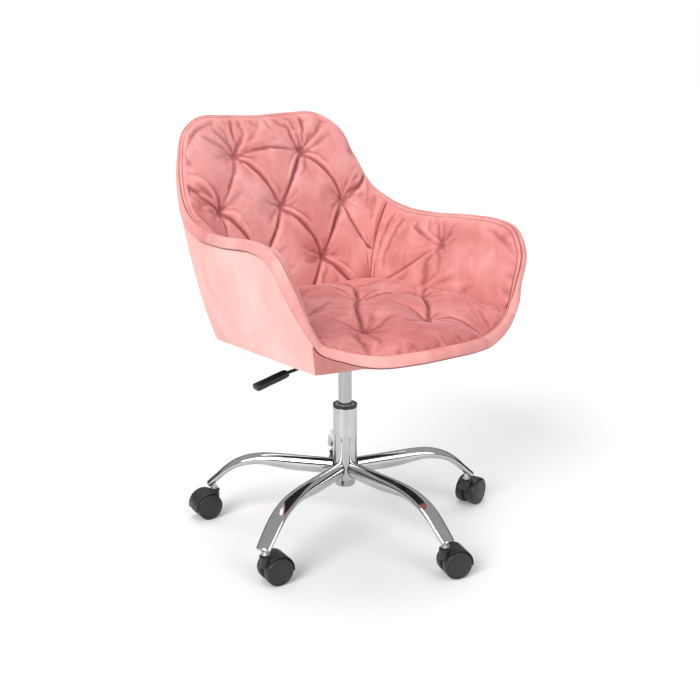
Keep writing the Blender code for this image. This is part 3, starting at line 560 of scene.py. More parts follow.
def creases(q, lines):
    """How far the folds between tufts sink. A line is start, end, bend, depth, width."""
    sunk = np.zeros(q.shape[:-1])
    for start, end, bend, depth, width in lines:
        offset, along = from_line(q, start, end, bend)
        share = window(along, 0.0, 1.0, 0.22)
        sunk = np.maximum(sunk, depth * share * np.exp(-np.abs(offset) / (FOLD_TIGHT * width)))
    return sunk


def folds(q, lines):
    """Raised pleats. A line is start, end, bend, height, width at its start and at its end."""
    raised = np.zeros(q.shape[:-1])
    for start, end, bend, height, narrow, wide in lines:
        offset, along = from_line(q, start, end, bend)
        width = narrow + (wide - narrow) * np.clip(along, 0, 1)
        share = window(along, 0.06, 0.8, 0.34)
        raised += height * share * np.exp(-((offset / width) ** 2))
    return raised


def fan(tuft, count, seed, short, long, height):
    """Small pleats that run out from a tuft in all directions."""
    random = np.random.default_rng(seed)
    lines = []
    for k in range(count):
        turn = 2 * math.pi * (k + random.uniform(-0.3, 0.3)) / count
        length = random.uniform(short, long)
        end = (tuft[0] + length * math.cos(turn), tuft[1] + length * math.sin(turn))
        bend = random.uniform(-0.08, 0.08) * length
        rise = height * random.uniform(0.6, 1.3)
        lines.append((tuft, end, bend, rise, 0.0012, random.uniform(0.003, 0.006)))
    return lines


def line_points(tufts, lines):
    """The lines with each tuft's name turned into its place."""
    return [tuple(tufts[x] if isinstance(x, str) else x for x in line) for line in lines]


def relief(q, tufts, crease_lines, pleats, fans, depth, reach):
    """The height of the tufted fabric over its middle surface.

    fans holds how many small pleats run out of each tuft, the first tuft's seed and the pleats' sizes."""
    count, seed, *sizes = fans
    pleats = line_points(tufts, pleats)
    for k, tuft in enumerate(tufts.values()):
        pleats += fan(tuft, count, seed + k, *sizes)
    pulled = depth * np.exp(-((to_nearest(q, tufts.values()) / reach) ** 0.85))
    sunk = creases(q, line_points(tufts, crease_lines))
    down = (pulled**3 + sunk**3) ** (1 / 3)
    return folds(q, pleats) - down


def run_down(grid):
    """How far each point is from the grid's first row, along its column."""
    steps = np.linalg.norm(np.diff(grid, axis=0), axis=2)
    return np.concatenate([np.zeros((1, grid.shape[1])), np.cumsum(steps, axis=0)])


def edge_round(grid, reach, rows=True, first_column=False):
    """0 at the chosen borders and the last column, and 1 a little way inside, like a stuffed edge."""
    down, along = run_down(grid), run_down(grid.swapaxes(0, 1)).T
    distances = [along[:, -1:] - along]
    if rows:
        distances += [down, down[-1:] - down]
    if first_column:
        distances.append(along)
    share = np.ones(grid.shape[:2])
    for distance in distances:
        share *= np.sqrt(1 - (1 - np.clip(distance / reach, 0, 1)) ** 2)
    return share


def finer(grid):
    """The same surface with twice the points each way, through the old ones."""
    for _ in range(2):
        ends = np.concatenate([2 * grid[:1] - grid[1:2], grid, 2 * grid[-1:] - grid[-2:-1]])
        between = (9 * (ends[1:-2] + ends[2:-1]) - ends[:-3] - ends[3:]) / 16
        joined = np.empty((2 * len(grid) - 1, *grid.shape[1:]))
        joined[::2] = grid
        joined[1::2] = between
        grid = joined.swapaxes(0, 1)
    return grid


def blurred(grid, rounds):
    """The grid with each point drawn towards its neighbours, rounds times over, its border left alone."""
    for _ in range(rounds):
        inner = (grid[2:, 1:-1] + grid[:-2, 1:-1] + grid[1:-1, 2:] + grid[1:-1, :-2]) / 4
        grid = grid.copy()
        grid[1:-1, 1:-1] = inner
    return grid


def painted_shade(grid, normals, depth=0.0008):
    """How far each point lies over (to 1) or under (to -1) the surface round it, which the velvet turns into
    painted shade in the folds.
    """
    fine = ((grid - blurred(grid, 6)) * normals).sum(axis=2)
    broad = ((grid - blurred(grid, 50)) * normals).sum(axis=2)
    return np.tanh(fine / depth + 0.15 * broad / depth)


def keep_painted_shade(obj, values):
    """Stores values on the object's first points, for its velvet to paint shade into the folds with."""
    attribute = obj.data.attributes.new("painted_shade", "FLOAT", "POINT")
    stored = np.zeros(len(obj.data.vertices))
    stored[: values.size] = values.ravel()
    attribute.data.foreach_set("value", stored)


def held_points(q, tufts):
    """1 at the borders and the tufts, falling to 0 a little way from each tuft."""
    held = np.clip(2 - to_nearest(q, tufts) / TUFT_HELD, 0, 1)
    held[:2] = held[-2:] = 1
    held[:, :2] = held[:, -2:] = 1
    return held


def inflated(grid, towards, held, pressure, slack, cap):
    """The grid as a sheet of fabric that swells towards the sitter, held where held is 1."""
    rows, columns, _ = grid.shape
    sheet = mesh_object("sheet", grid.reshape(-1, 3), grid_faces(rows, columns))
    facing = np.array([v.normal for v in sheet.data.vertices]).reshape(grid.shape)
    if (facing * towards).sum() < 0:
        sheet.data.flip_normals()
    group = sheet.vertex_groups.new(name="held")
    shares = np.round(held.ravel(), 1)
    for share in np.unique(shares):
        group.add(np.flatnonzero(shares == share).tolist(), float(share), "REPLACE")
    cloth = sheet.modifiers.new("Cloth", "CLOTH")
    cloth.point_cache.frame_end = CLOTH_FRAMES
    cloth.collision_settings.use_collision = False
    cloth.settings.effector_weights.gravity = 0.0
    for setting, value in CLOTH.items():
        setattr(cloth.settings, setting, value)
    cloth.settings.uniform_pressure_force = pressure
    cloth.settings.shrink_min = -slack
    for step in range(1, CLOTH_FRAMES + 1):
        bpy.context.scene.frame_set(step)
    swollen = sheet.evaluated_get(bpy.context.evaluated_depsgraph_get())
    points = np.array([v.co for v in swollen.data.vertices]).reshape(grid.shape) - COLUMN
    bpy.data.objects.remove(sheet)
    bpy.context.scene.frame_set(1)
    points = (points + blurred(points, 1)) / 2
    moved = points - grid
    return grid + unit(moved) * cap * np.tanh(np.linalg.norm(moved, axis=2) / cap)[..., None]


def pad_face(rows, across, bottom, bulge, near_corner, levels):
    """The visible face of an inner pad, from below the cushion's edge up to the rim's seam.

    The seam between the arm and the back bends towards the sitter, most of all near its top."""
    face = wall_grid(bottom, rim_points(rows, *INNER_SEAM), -across, bulge, levels)
    bend = CORNER_BEND * 6.75 * levels**2 * (1 - levels)
    return face - near_corner[:, None, None] * bend[None, :, None] * across[:, None]


def make_pad(name, face, normals, rise, q, tufts, puff, side, node):
    """An inner pad whose face is raised, then swelled by puff: the pressure, the slack and the most."""
    grid = inflated(face + normals * rise[..., None], normals, held_points(q, tufts), *puff)
    grid, normals = finer(grid), finer(normals)
    turn = np.array([float(side), 1.0, 1.0])
    pad = slab(name, grid * turn, (grid - normals * FABRIC_THICK) * turn)
    # painted shade in the pad's folds, from how far each point sinks under its neighbours
    keep_painted_shade(pad, painted_shade(grid, normals))
    finish_piece(pad, "seat", "pink_velvet", node)


CLOTH_FRAMES = 18
CLOTH = {
    "vertex_group_mass": "held",
    "quality": 5,
    "mass": 0.15,
    "tension_stiffness": 40.0,
    "compression_stiffness": 40.0,
    "shear_stiffness": 8.0,
    "bending_stiffness": 1.0,
    "use_pressure": True,
}
TUFT_HELD = 0.004
FABRIC_THICK, CUSHION_BACKING = 0.004, 0.01
PLUMP = 0.0085  # how far the pads stand over the CAD's faces between their tufts

BACK_TUFTS = {
    "A1": (-0.082, 0.7665),
    "A2": (0.082, 0.7665),
    "B1": (-0.154, 0.6625),
    "B0": (0.0, 0.6595),
    "B2": (0.154, 0.6625),
    "C1": (-0.078, 0.548),
    "C2": (0.078, 0.548),
}


def back_relief(q):
    deep, plain, shallow = 0.015, 0.0115, 0.007
    lines = [
        ("A1", "B0", 0.004, plain, 0.0075),
        ("A2", "B0", -0.003, deep, 0.007),
        ("A2", "B2", 0.008, plain, 0.0075),
        ("A1", "B1", 0.002, shallow, 0.009),
        ("B1", "C1", 0.006, deep, 0.0065),
        ("B0", "C1", 0.0, deep, 0.0055),
        ("B0", "C2", 0.006, plain, 0.0075),
        ("B2", "C2", -0.004, plain, 0.0075),
        ("A1", "A2", 0.006, shallow, 0.011),
        ("C1", (-0.02, 0.46), 0.003, deep, 0.006),
        ("C2", (0.02, 0.46), -0.003, deep, 0.006),
        ("C1", (-0.15, 0.465), 0.0, plain, 0.007),
        ("C2", (0.15, 0.465), 0.0, plain, 0.007),
        ("B1", (-0.19, 0.55), 0.01, plain, 0.006),
        ("B2", (0.19, 0.55), -0.01, deep, 0.0055),
        ("A1", (-0.075, 0.835), 0.004, shallow, 0.006),
        ("A2", (0.098, 0.835), -0.004, shallow, 0.006),
        ("B1", (-0.215, 0.715), 0.004, shallow, 0.007),
        ("B2", (0.222, 0.71), -0.006, plain, 0.006),
    ]
    ridge = 0.0042
    pleats = [
        ("A1", (-0.012, 0.678), 0.013, ridge, 0.002, 0.0045),
        ("A1", (-0.03, 0.706), -0.006, 0.7 * ridge, 0.002, 0.005),
        ("A2", (0.142, 0.678), 0.016, 1.1 * ridge, 0.0022, 0.0048),
        ("A2", (0.02, 0.685), -0.014, ridge, 0.002, 0.005),
        ("A2", (0.034, 0.708), 0.01, 0.7 * ridge, 0.002, 0.005),
        ("B0", (0.066, 0.568), 0.014, ridge, 0.0022, 0.005),
        ("B0", (0.06, 0.605), 0.002, 0.7 * ridge, 0.002, 0.006),
        ("B2", (0.092, 0.57), -0.014, ridge, 0.0022, 0.005),
        ("B2", (0.214, 0.7), 0.01, 0.9 * ridge, 0.002, 0.004),
        ("B2", (0.208, 0.726), 0.006, 0.7 * ridge, 0.002, 0.0045),
        ("B2", (0.212, 0.675), 0.006, 0.7 * ridge, 0.002, 0.005),
        ("B1", (-0.215, 0.736), -0.012, ridge, 0.002, 0.0055),
        ("B1", (-0.222, 0.702), -0.008, 0.8 * ridge, 0.002, 0.005),
        ("B1", (-0.098, 0.58), 0.016, ridge, 0.0022, 0.005),
        ("B1", (-0.11, 0.625), 0.012, 0.7 * ridge, 0.0022, 0.006),
        ("C2", (0.15, 0.48), 0.008, ridge, 0.0024, 0.0055),
        ("C1", (-0.15, 0.48), -0.008, ridge, 0.0024, 0.0055),
        ("A1", (-0.128, 0.81), 0.004, 0.7 * ridge, 0.002, 0.0055),
        ("A1", (-0.088, 0.833), 0.002, 0.6 * ridge, 0.002, 0.0045),
        ("A1", (-0.04, 0.81), -0.003, 0.6 * ridge, 0.002, 0.006),
        ("A2", (0.062, 0.83), 0.003, 0.7 * ridge, 0.002, 0.005),
        ("A2", (0.11, 0.831), -0.002, 0.7 * ridge, 0.002, 0.005),
        ("A2", (0.145, 0.805), -0.003, 0.7 * ridge, 0.002, 0.006),
        ("A1", (0.03, 0.79), 0.01, 0.6 * ridge, 0.003, 0.008),
    ]
    return relief(q, BACK_TUFTS, lines, pleats, (13, 40, 0.022, 0.055, 0.0018), 0.025, 0.018)


def pad_corner():
    """Where the arm pads' and the back pad's bottom lines meet, on the sitter's left."""
    return cushion_half(PAD_CORNER_Y) + PAD_CLEAR, PAD_CORNER_Y, PAD_BOTTOM


def make_back_pad():
    rows = back_rows(161)
    levels = np.linspace(0, 1, 109)
    u = back_share(rows)
    bow = 1 - u * u
    x_corner, y_corner, _ = pad_corner()
    bottom = np.column_stack([u * x_corner, y_corner + PAD_BOW * bow, np.full(len(u), PAD_BOTTOM)])
    swell = ARM_PAD_BULGE + (BACK_PAD_BULGE - ARM_PAD_BULGE) * bow
    face = pad_face(rows, flat(rows), bottom, swell, np.abs(u) ** 5, levels)
    normals = grid_normals(face, (0.0, -1.0, 0.0))
    q = face[..., [0, 2]]
    rise = PLUMP * edge_round(face, 0.016) + back_relief(q) * edge_round(face, 0.03)
    puff = (5.0, 0.03, 0.014)
    make_pad("tufted_back", face, normals, rise, q, BACK_TUFTS.values(), puff, 1, "back_pad")


ARM_TUFTS = {"arm": (-0.04, 0.593)}


def arm_relief(q, side):
    """q is y and z on the arm's inner face."""
    lines = [
        ("arm", (0.06, 0.615), -0.004, 0.005, 0.008),
        ("arm", (0.11, 0.49), -0.006, 0.006, 0.008),
        ("arm", (0.03, 0.54), 0.003, 0.003, 0.01),
        ((0.128, 0.64), (0.136, 0.48), -0.002, 0.0032, 0.004),
        ((0.146, 0.64), (0.146, 0.48), 0.001, 0.0026, 0.0035),
    ]
    pleats = [
        ("arm", (0.055, 0.628), -0.004, 0.0026, 0.002, 0.006),
        ("arm", (0.03, 0.6), 0.002, 0.002, 0.002, 0.006),
        ("arm", (0.125, 0.485), -0.012, 0.0024, 0.003, 0.008),
        ("arm", (0.09, 0.55), -0.006, 0.0014, 0.003, 0.008),
        ("arm", (-0.018, 0.635), 0.002, 0.0016, 0.0018, 0.0045),
        ("arm", (-0.055, 0.632), 0.001, 0.0015, 0.0018, 0.0045),
        ("arm", (-0.085, 0.618), 0.002, 0.0018, 0.0018, 0.005),
        ((-0.02, 0.495), (-0.12, 0.555), -0.005, 0.0026, 0.004, 0.009),
        ((-0.01, 0.495), (-0.17, 0.525), -0.006, 0.0018, 0.004, 0.009),
        ((0.104, 0.635), (0.118, 0.49), 0.003, 0.0016, 0.004, 0.006),
    ]
    return relief(q, ARM_TUFTS, lines, pleats, (11, 70 + side, 0.018, 0.045, 0.0009), 0.013, 0.02)


def make_arm_pad(side, name):
    rows = side_rows(91, 0.004)
    levels = np.linspace(0, 1, 51)
    share = side_share(rows)
    y = FRONT_CORNER[1] + share * (PAD_CORNER_Y - FRONT_CORNER[1])
    bottom = np.column_stack([cushion_half(y) + PAD_CLEAR, y, np.full(len(y), PAD_BOTTOM)])
    swell = ARM_PAD_BULGE * np.minimum(1.0, 0.1 + 5 * share)
    face = pad_face(rows, side_flat(rows), bottom, swell, share**7, levels)
    normals = grid_normals(face, (-1.0, 0.0, 0.0))
    q = face[..., [1, 2]]
    plump = PLUMP * edge_round(face, 0.014) * np.minimum(1.0, 0.2 + 3 * share)[:, None]
    rise = plump + arm_relief(q, side) * edge_round(face, 0.026)
    puff = (2.0, 0.012, 0.006)
    tufts = ARM_TUFTS.values()
    make_pad(f"tufted_arm_{name}", face, normals, rise, q, tufts, puff, side, f"arm_pad_{name}")


SEAT_TUFTS = {
    "front_right": (-0.088, -0.184),
    "front_left": (0.055, -0.193),
    "middle": (0.01, -0.034),
    "side_right": (-0.146, -0.062),
    "side_left": (0.142, -0.068),
    "back_right": (-0.07, 0.072),
    "back_left": (0.08, 0.072),
}


def seat_relief(q):
    deep, plain = 0.019, 0.0125
    lines = [
        ("front_right", "middle", 0.01, deep, 0.008),
        ("front_left", "side_left", -0.006, deep, 0.008),
        ("front_left", "middle", -0.008, plain, 0.011),
        ("front_right", "side_right", 0.006, plain, 0.011),
        ("middle", "back_left", 0.004, deep, 0.008),
        ("middle", "back_right", -0.004, plain, 0.009),
        ("side_left", "back_left", 0.004, plain, 0.009),
        ("side_right", "back_right", -0.004, plain, 0.009),
        ("side_right", (-0.2, -0.02), 0.002, plain, 0.008),
        ("side_left", (0.2, -0.02), -0.002, plain, 0.008),
        ("back_left", (0.1, 0.16), 0.002, plain, 0.007),
        ("back_right", (-0.095, 0.16), -0.002, plain, 0.007),
        ("middle", (0.02, 0.16), 0.006, 0.6 * plain, 0.008),
    ]
    pleats = [
        ("front_left", (0.1, -0.236), 0.004, 0.0022, 0.0024, 0.006),
        ("front_left", (0.076, -0.246), 0.003, 0.0018, 0.0022, 0.005),
        ("front_left", (0.118, -0.215), 0.004, 0.002, 0.0024, 0.007),
        ("front_right", (-0.04, -0.17), -0.006, 0.0026, 0.003, 0.008),
        ("front_right", (-0.055, -0.225), 0.003, 0.0016, 0.0022, 0.006),
        ("front_right", (-0.15, -0.19), 0.003, 0.0018, 0.003, 0.008),
        ("middle", (0.08, -0.05), 0.008, 0.0026, 0.003, 0.009),
        ("middle", (-0.07, -0.06), -0.008, 0.0026, 0.003, 0.009),
        ("side_left", (0.188, -0.1), -0.005, 0.0022, 0.0026, 0.008),
        ("side_left", (0.09, -0.1), 0.006, 0.002, 0.0026, 0.008),
        ("back_left", (0.05, 0.13), 0.004, 0.0018, 0.0024, 0.006),
    ]
    return relief(q, SEAT_TUFTS, lines, pleats, (12, 90, 0.022, 0.05, 0.0013), 0.026, 0.02)


def cushion_grid():
    """The cushion's top before it is tufted: columns from the front edge to the back, side by side."""
    lip = smooth(with_directions(LIP_KNOTS), 200)
    shares = (1 - np.cos(np.pi * np.linspace(0, 1, 121) ** 0.9)) / 2
    front_half = LIP_KNOTS[-1][0] - 0.001
    top = []
    for u in np.sin(np.linspace(-1, 1, 141) * math.pi / 2):
        y_front = np.interp(abs(u) * front_half, lip[:, 0], lip[:, 1]) + 0.0015
        z_front = np.interp(abs(u) * front_half, lip[:, 0], lip[:, 2])
        y_back = PAD_CORNER_Y + PAD_BOW * (1 - u * u) - 0.002
        y = y_front + shares * (y_back - y_front)
        at_corner = np.clip(1 - (y - y_front) / 0.05, 0, 1) ** 1.5
        half = cushion_half(y) + 0.0025
        x = u * (half + at_corner * (front_half + 0.004 - half))
        edge = (z_front - 0.001) * (1 - shares) + CUSHION_BACK_EDGE * shares
        crown = (CUSHION_CROWN + 0.006) * np.sin(np.pi * shares) ** 0.5 * (1 - 0.55 * u**8)
        top.append(np.column_stack([x, y, edge + crown]))
    return np.array(top)


def make_cushion():
    top = cushion_grid()
    q = top[..., [0, 1]]
    top[..., 2] += seat_relief(q) * edge_round(top, 0.045, first_column=True)
    border = np.clip(1.6 - 2.4 * edge_round(top, 0.022, first_column=True), 0, 1)
    held = np.maximum(border, held_points(q, SEAT_TUFTS.values()))
    top = finer(inflated(top, upwards(top), held, 7.0, 0.018, 0.014))
    cushion = slab("tufted_seat", top, top - np.array([0.0, 0.0, CUSHION_BACKING]))
    # painted shade in the cushion's folds, from how far each point sinks under its neighbours
    keep_painted_shade(cushion, painted_shade(top, upwards(top)))
    # the seat's velvet is a darker copy: painted shade over the whole cushion
    finish_piece(cushion, "seat", "pink_velvet_seat_painted_shade", "seat_cushion")


# ---------------------------------------------------------------- rolls and outer covers


def roll_section():
    """The roll's outline across the wall and out of its edge, with the painted shade at each point: darkest
    in the seams' grooves and on the roll's underside.

    Two soft bands run side by side, with a seam between them and one along each edge."""
    crest = np.linspace(0.0, 1.0, 38)
    arch = np.sin(np.pi * crest) ** 0.5
    middle = np.exp(-((np.abs(crest - 0.34) / 0.055) ** 1.5))
    edge = np.exp(-((crest / 0.07) ** 2))
    over = np.column_stack([crest * 0.024, -0.005 + 0.0115 * arch - 0.0052 * middle])
    side = [(0.025, -0.008), (0.0245, -0.0115), (0.0225, -0.0128), (0.012, -0.0128), (0.001, -0.0085)]
    # painted shade: dark in the middle seam and along the inner edge's seam, and on the underside where the
    # roll sits on its cover
    sunk = np.concatenate([0.35 - 1.7 * middle - 1.35 * edge, [0.3, 0.1, -1.0, -1.0, -1.0]])
    return np.vstack([over, side]), sunk


def make_roll():
    """The stuffed roll all round the bucket's edge: rim and lip in one."""
    rows = whole_edge(760)
    points, across, out, size = frames(np.vstack([rows[-3:], rows, rows[:3]]))
    points, across, out, size = [part[3:-3] for part in (points, across, out, size)]
    outline, sunk = roll_section()
    sections = [points + size * (a * across + b * out) for a, b in outline]
    roll = tube("edge_roll", np.stack(sections, axis=1), closed=True)
    # painted shade along the roll's seams and under it
    keep_painted_shade(roll, np.tile(sunk, len(rows)))
    # the roll's velvet is a lighter copy: painted light
    finish_piece(roll, "seat", "pink_velvet_roll_painted_light", "rim_roll", "lip_roll")


SEAM_DRAW = 0.03  # how far a seam's end draws its neighbours along
COVER_THICK, COVER_TUCK, TUCK_REACH = 0.003, 0.003, 0.01


def drawn_to(line, end, target):
    """A line with one of its ends moved to a target, and its nearest points with it."""
    away = np.linalg.norm(line - line[end], axis=1)
    return line + np.exp(-((away / SEAM_DRAW) ** 2))[:, None] * (target - line[end])


def skin(bottom, top, across, bulge, levels, ripple):
    """The outer and inner faces of an outer cover, with its fabric's slack as a ripple function."""
    outer = wall_grid(bottom, top, across, bulge, levels)
    tuck = COVER_TUCK * (1 - edge_round(outer, TUCK_REACH, rows=False))
    shown = outer + (ripple(outer) - tuck)[..., None] * across[:, None]
    return shown, outer - (COVER_THICK + tuck)[..., None] * across[:, None]


def side_ripple(grid):
    """Slack in the arm's outer cover: short drag marks under the rim and long soft ones at the back."""
    q = grid[..., [1, 2]]
    marks = [
        ((0.06, 0.64), (0.052, 0.59), 0.002, 0.0011, 0.003, 0.005),
        ((0.085, 0.64), (0.07, 0.6), 0.002, 0.0009, 0.003, 0.005),
        ((0.11, 0.64), (0.098, 0.605), 0.002, 0.0008, 0.003, 0.005),
        ((0.11, 0.52), (0.06, 0.43), 0.004, 0.0012, 0.005, 0.008),
        ((0.125, 0.53), (0.085, 0.43), 0.004, 0.001, 0.005, 0.008),
    ]
    return folds(q, marks)


def no_ripple(grid):
    return np.zeros(grid.shape[:2])


def make_outer_covers():
    levels = np.linspace(0, 1, 70)
    rows = side_rows(110)
    arm_top = rim_points(rows, *OUTER_SEAM)
    back_top = rim_points(back_rows(160), *OUTER_SEAM)
    seam = (arm_top[-1] + back_top[0]) / 2
    arm_top = drawn_to(arm_top, -1, seam)
    back_top = drawn_to(drawn_to(back_top, 0, seam), -1, seam * np.array([-1.0, 1.0, 1.0]))
    y = FRONT_CORNER[1] + side_share(rows) * (BACK_CORNER[1] - FRONT_CORNER[1])
    bottom = np.column_stack([outline_half(y), y, underside(y)])
    swell = SIDE_BULGE * np.minimum(1.0, SWELL_RISE * side_share(rows))
    shown, hidden = skin(bottom, arm_top, side_flat(rows), swell, levels, side_ripple)
    for side, name in SIDES:
        turn = np.array([float(side), 1.0, 1.0])
        cover = slab(f"outer_arm_cover_{name}", shown * turn, hidden * turn, 50)
        # the outer covers' velvet is a lighter copy: painted light from the side
        finish_piece(cover, "seat", "pink_velvet_outer_painted_light", f"outer_side_{name}")
    rows = back_rows(160)
    u = back_share(rows)
    y = BACK_CORNER[1] + BACK_BOW * (1 - u * u)
    bottom = np.column_stack([u * BACK_CORNER[0], y, underside(y)])
    swell = SIDE_BULGE + (BACK_BULGE - SIDE_BULGE) * (1 - u * u)
    shown, hidden = skin(bottom, back_top, flat(rows), swell, levels, no_ripple)
    cover = slab("outer_back_cover", shown, hidden, 50)
    # the outer covers' velvet is a lighter copy: painted light from the side
    finish_piece(cover, "seat", "pink_velvet_outer_painted_light", "outer_back")
    rows = front_rows(150)
    u = rows[:, 0] / RIM_KNOTS[0][0]
    y = FRONT_CORNER[1] - FRONT_BOW * (1 - u * u)
    bottom = np.column_stack([u * (FRONT_CORNER[0] - FRONT_INSET), y, underside(y)])
    top = rim_points(rows, *OUTER_SEAM)
    shown, hidden = skin(bottom, top, flat(rows), 0.0, np.linspace(0, 1, 30), no_ripple)
    cover = slab("front_cover", shown, hidden, 50)
    # the front strip's velvet is a darker copy: painted shade
    finish_piece(cover, "seat", "pink_velvet_front_painted_shade", "front_strip")


def make_upholstery():
    make_back_pad()
    for side, name in SIDES:
        make_arm_pad(side, name)
    make_cushion()
    make_roll()
    make_outer_covers()


# ---------------------------------------------------------------- base, lift and casters


LEG_STATIONS = (
    (0.025, 0.138, 0.028, 0.034),
    (0.07, 0.1375, 0.028, 0.035),
    (0.12, 0.138, 0.029, 0.034),
    (0.155, 0.1398, 0.03, 0.03),
    (0.185, 0.14, 0.032, 0.025),
    (0.215, 0.1345, 0.034, 0.022),
    (0.242, 0.1235, 0.035, 0.019),
    (0.263, 0.109, 0.035, 0.017),
    (0.281, 0.0925, 0.034, 0.016),
    (0.301, 0.0735, 0.032, 0.016),
)


# how a leg's last section shrinks past its end, and by how far it stands out
LEG_TIP = ((0.97, 0.0006), (0.9, 0.0011), (0.78, 0.0014))


def ovals(places, heading, sizes, sides=40, power=0.45):
    """Rings round points of an upright plane, with half widths and half heights.

    A power of 1 makes ellipses, and a smaller one squarer rings."""
    turns = np.linspace(0, 2 * math.pi, sides, endpoint=False)
    wide = np.sign(np.cos(turns)) * np.abs(np.cos(turns)) ** power
    high = np.sign(np.sin(turns)) * np.abs(np.sin(turns)) ** power
    rings = []
    for (x, z), (dx, dz), (half_width, half_height) in zip(places, heading, sizes):
        up = half_height * high
        rings.append(np.column_stack([x - dz * up, half_width * wide, z + dx * up]))
    return rings


def turn_points(points, degrees):
    a = math.radians(degrees)
    spin = np.array([[math.cos(a), math.sin(a), 0], [-math.sin(a), math.cos(a), 0], [0, 0, 1]])
    return np.asarray(points) @ spin


def make_legs():
    rows = smooth(LEG_STATIONS, 90)
    heading = unit(np.gradient(rows[:, :2], axis=0))
    sections = ovals(rows[:, :2], heading, rows[:, 2:] / 2, 48, 1.0)
    tip = sections[-1]
    middle = tip.mean(axis=0)
    outwards = np.array([heading[-1][0], 0, heading[-1][1]])
    sections += [middle + share * (tip - middle) + reach * outwards for share, reach in LEG_TIP]
    for i in range(LEG_COUNT):
        turned_sections = [turn_points(s, FIRST_LEG_DEG + i * 360 / LEG_COUNT) for s in sections]
        leg = tube(f"chrome_leg_{i + 1}", turned_sections, sharp_deg=50)
        finish_piece(leg, "base", "polished_chrome", f"base_leg_{i + 1}")


HUB_WALL, COLLAR_BORE_R = 0.0028, 0.0222
TAPER, TAPER_LENGTH = 0.075, 0.019  # metres of radius lost for each metre of height, over the top
PIN_BORE_R, CYLINDER_BORE_R, PIN_BORE_DEPTH = 0.0038, 0.0053, 0.0105


def column_piece(node):
    """The radius, the bottom and the top of a round CAD node."""
    low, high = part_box(node)
    return (high.x - low.x) / 2, low.z, high.z


def pipe(bore, radius, low, high):
    return [(bore, low), (radius, low), (radius, high), (bore, high)]


def make_column():
    radius, low, high = column_piece("base_hub_tube")
    piece = turned("chrome_hub", pipe(radius - HUB_WALL, radius, low, high), radius=0.0008)
    finish_piece(piece, "base", "polished_chrome", "base_hub_tube")
    piece = turned("column_collar", pipe(COLLAR_BORE_R, *column_piece("hub_collar")), radius=0.0012)
    finish_piece(piece, "base", "black_nylon", "hub_collar")
    radius, low, high = column_piece("pressure_cylinder")
    cylinder = [
        (CYLINDER_BORE_R, low),
        (radius, low),
        (radius, high - TAPER_LENGTH),
        (radius - TAPER * TAPER_LENGTH, high),
        (PIN_BORE_R, high),
        (PIN_BORE_R, high - PIN_BORE_DEPTH),
        (CYLINDER_BORE_R, high - PIN_BORE_DEPTH),
    ]
    piece = turned("lift_cylinder", cylinder, radius=0.0006)
    finish_piece(piece, "seat", "ground_steel", "pressure_cylinder")


def joint(name):
    """A joint's place and axis, from the record."""
    found = next(j for j in frame["record"]["behaviour"]["joints"] if j["name"] == name)
    return np.array(found["pos_m"]), np.array(found["axis"], dtype=float)


AXLE_HEIGHT = 0.02834
# radius, height along the axle from the wheel's middle, outwards
WHEEL_PROFILE = (
    (0.0036, -0.0088), (0.0262, -0.0088), (0.0277, -0.008), (0.0283, -0.0066), (0.0283, 0.0056),
    (0.0279, 0.007), (0.0268, 0.0082), (0.0252, 0.0089), (0.0238, 0.0089), (0.0232, 0.0083),
    (0.0228, 0.0083), (0.0222, 0.0087), (0.012, 0.0091), (0.0004, 0.0092),
)
# radius, height over the floor
STEM_PROFILE = (
    (0.0026, 0.0376), (0.0029, 0.0379), (0.0029, 0.0597), (0.0046, 0.0598), (0.0049, 0.0601),
    (0.0049, 0.0624), (0.008, 0.0627), (0.0085, 0.0631), (0.0085, 0.0644), (0.0081, 0.0648),
    (0.005, 0.0652), (0.005, 0.0786), (0.0046, 0.079),
)
BOSS_PROFILE = (
    (0.0036, 0.0366), (0.0104, 0.0366), (0.011, 0.0372), (0.011, 0.0552), (0.0118, 0.056),
    (0.0122, 0.0568), (0.0122, 0.0584), (0.0118, 0.0591), (0.011, 0.0594), (0.0036, 0.0594),
)
# half width, radius from the axle, from the fender's middle to its edge
FENDER_EDGE = ((0.02, 0.0322), (0.021, 0.0318), (0.0215, 0.031), (0.0215, 0.0302), (0.0213, 0.0299))
TRAIL = 0.02
FENDER_START_DEG, FENDER_END_DEG = -8, 128
WEB_HALF, WEB_CORNER, WEB_TOP_R, WEB_BOTTOM_R = 0.0052, 0.0008, 0.03, 0.024


def caster_body(stem, ahead, axle):
    """The fender over the wheels, the web between them and the boss round the stem."""
    middle = stem + TRAIL * ahead
    middle[2] = AXLE_HEIGHT
    up = np.array([0.0, 0.0, 1.0])
    turns = np.radians(np.linspace(FENDER_START_DEG, FENDER_END_DEG, 40))
    rims = [math.cos(a) * ahead + math.sin(a) * up for a in turns]
    across = [(-y, r) for y, r in reversed(FENDER_EDGE)] + list(FENDER_EDGE)
    fender = shell([[middle + y * axle + r * rim for y, r in across] for rim in rims])
    lower = [math.cos(a) * ahead + math.sin(a) * up for a in np.radians(np.linspace(150, 330, 30))]
    outline = [(WEB_TOP_R, rim) for rim in rims] + [(WEB_BOTTOM_R, rim) for rim in lower]
    webs = []
    inner = WEB_HALF - WEB_CORNER
    for y, inset in ((-WEB_HALF, WEB_CORNER), (-inner, 0), (inner, 0), (WEB_HALF, WEB_CORNER)):
        webs.append([middle + y * axle + (r - inset) * rim for r, rim in outline])
    boss = lathe(BOSS_PROFILE, stem * (1, 1, 0), (0, 0, 1))
    return [fender, shell(webs), boss]


